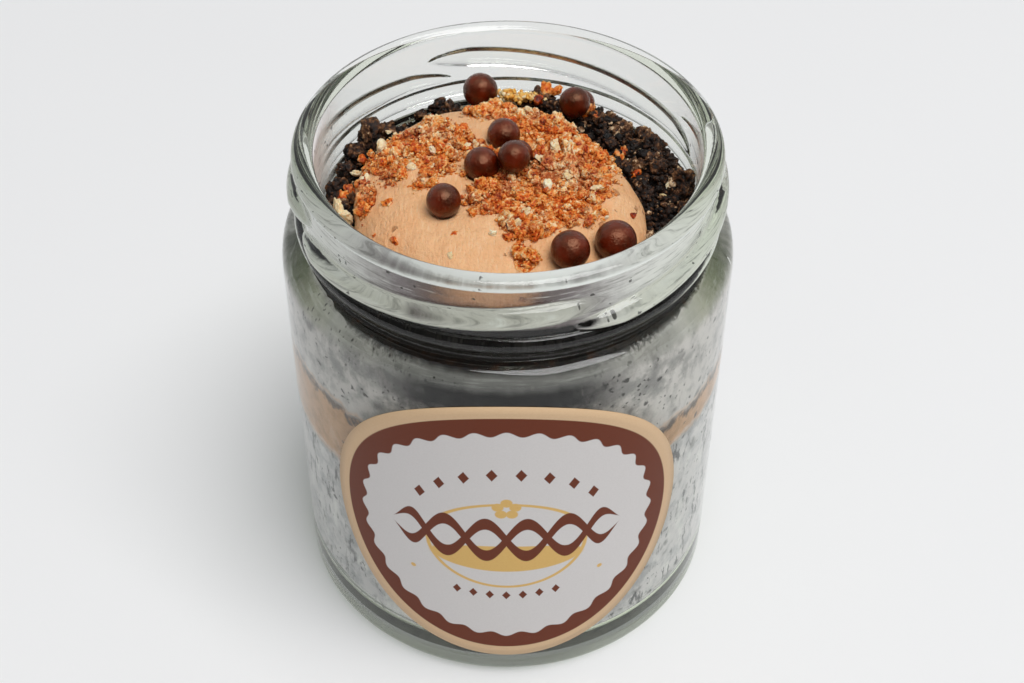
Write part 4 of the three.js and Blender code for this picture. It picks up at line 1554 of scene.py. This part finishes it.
class DESSERT_OT_label(bpy.types.Operator):
    """Build the round printed label on the glass"""

    bl_idname = "dessert.label"
    bl_label = "Label"

    def execute(self, context):
        label = context.scene.dessert_label
        jar = context.scene.dessert_jar
        middle = (LABEL_LOW.z + LABEL_HIGH.z) / 2
        angles = steps_round(LABEL_COLUMNS)
        inner = jar.body_radius + LABEL_GAP
        outer = inner + LABEL_THICKNESS
        shares = np.linspace(0.05, 1, 20)
        sheets = [(share, outer) for share in shares] + [(share, inner) for share in shares[::-1]]
        points = [(0, -outer, middle)]
        for share, radius in sheets:
            across = share * label.radius * np.cos(angles) / jar.body_radius
            up = middle + share * label.radius * np.sin(angles)
            points += list(zip(*around(radius, across), up))
        points.append((0, -inner, middle))
        faces = [face[::-1] for face in ring_faces(len(sheets), LABEL_COLUMNS)]
        piece = make_object("printed_label", points, faces, label_material(label, jar), "label_paper")
        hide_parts("label")
        return {"FINISHED"}


# The camera's sensor width in millimetres, and the nearest distance that it sees
SENSOR_WIDTH = 36
NEAREST_SEEN = 10 * MM


class DESSERT_OT_stage(bpy.types.Operator):
    """Set up the floor, the lights and the camera"""

    bl_idname = "dessert.stage"
    bl_label = "Stage"

    def floor(self, stage):
        maker = Maker("pale_floor")
        soft = maker.noise(maker.place(), 60, 2)
        tone = maker.mix(soft * 0.1, tuple(stage.floor_colour), 0xE0E0E2)
        maker.surface(base_color=tone, roughness=0.85)
        half = stage.floor_width / 2
        mesh = bpy.data.meshes.new("floor")
        corners = [(-half, -half, 0), (half, -half, 0), (half, half, 0), (-half, half, 0)]
        mesh.from_pydata(corners, [], [(0, 1, 2, 3)])
        mesh.materials.append(maker.material)
        floor = bpy.data.objects.new("floor", mesh)
        bpy.context.scene.collection.objects.link(floor)

    def light(self, stage):
        lamp = bpy.data.lights.new("soft_key", "AREA")
        lamp.size = stage.key_size
        lamp.energy = stage.key_power
        level = math.cos(stage.key_elevation)
        away = Vector((
            level * math.sin(stage.key_azimuth),
            -level * math.cos(stage.key_azimuth),
            math.sin(stage.key_elevation),
        ))
        key = bpy.data.objects.new("soft_key", lamp)
        key.location = Vector((0, 0, stage.target_height)) + away * stage.key_distance
        key.rotation_euler = (-away).to_track_quat("-Z", "Y").to_euler()
        bpy.context.scene.collection.objects.link(key)

    def surroundings(self, stage):
        """Even light on everything; reflections and clear glass show a white backdrop and a dimmer room."""
        maker = Maker("even_light", world=True)
        seen = maker.rays("Camera", "Singular", "Glossy", "Transmission")
        y, z = maker.axes(maker.node("ShaderNodeTexCoord").outputs["Generated"])[1:]
        contrast = stage.backdrop_light - stage.room_light
        backdrop = (y + z * 0.3).rise(-0.25, 0.35) * contrast + stage.room_light
        strength = seen * (backdrop - stage.world_light) + stage.world_light
        sockets = {"Color": (0.95, 0.97, 1.0, 1), "Strength": strength}
        light = maker.node("ShaderNodeBackground", None, sockets)
        maker.tree.links.new(light.outputs[0], maker.end.inputs["Surface"])
        bpy.context.scene.world = maker.material

    def camera(self, stage):
        lens = bpy.data.cameras.new("camera")
        lens.sensor_fit = "HORIZONTAL"
        lens.sensor_width = SENSOR_WIDTH
        lens.lens = stage.lens
        lens.clip_start = NEAREST_SEEN
        camera = bpy.data.objects.new("camera", lens)
        away = Vector((0, -math.cos(stage.elevation), math.sin(stage.elevation)))
        camera.location = Vector((stage.target_side, 0, stage.target_height)) + away * stage.distance
        turn = (-away).to_track_quat("-Z", "Y") @ Quaternion((0, 0, 1), stage.roll)
        camera.rotation_euler = turn.to_euler()
        bpy.context.scene.collection.objects.link(camera)
        bpy.context.scene.camera = camera

    def execute(self, context):
        stage = context.scene.dessert_stage
        self.floor(stage)
        self.surroundings(stage)
        self.light(stage)
        self.camera(stage)
        context.scene.view_settings.view_transform = "Standard"
        return {"FINISHED"}


class DESSERT_PT_panel(bpy.types.Panel):
    """Buttons that build the dessert jar piece by piece"""

    bl_idname = "DESSERT_PT_panel"
    bl_label = "Dessert Jar"
    bl_space_type = "VIEW_3D"
    bl_region_type = "UI"
    bl_category = "Dessert Jar"

    def draw(self, context):
        for operator in OPERATORS:
            self.layout.operator(operator.bl_idname)


SETTINGS = {
    "dessert_jar": JarSettings,
    "dessert_filling": FillingSettings,
    "dessert_topping": ToppingSettings,
    "dessert_label": LabelSettings,
    "dessert_stage": StageSettings,
}
OPERATORS = (
    DESSERT_OT_stage,
    DESSERT_OT_glass_jar,
    DESSERT_OT_label,
    DESSERT_OT_fillings,
    DESSERT_OT_neck_film,
    DESSERT_OT_dark_crumbs,
    DESSERT_OT_cream_scoop,
    DESSERT_OT_biscuit_crumbs,
    DESSERT_OT_chocolate_balls,
)


def register():
    for made in (*SETTINGS.values(), *OPERATORS, DESSERT_PT_panel):
        bpy.utils.register_class(made)
    for name, settings in SETTINGS.items():
        setattr(bpy.types.Scene, name, PointerProperty(type=settings))


def unregister():
    for name in SETTINGS:
        delattr(bpy.types.Scene, name)
    for made in (DESSERT_PT_panel, *reversed(OPERATORS), *reversed(SETTINGS.values())):
        bpy.utils.unregister_class(made)


def main():
    register()
    bpy.ops.dessert.stage()
    bpy.ops.dessert.glass_jar()
    bpy.ops.dessert.label()
    bpy.ops.dessert.fillings()
    bpy.ops.dessert.neck_film()
    bpy.ops.dessert.dark_crumbs()
    bpy.ops.dessert.cream_scoop()
    bpy.ops.dessert.biscuit_crumbs()
    bpy.ops.dessert.chocolate_balls()


if __name__ == "__main__":
    main()
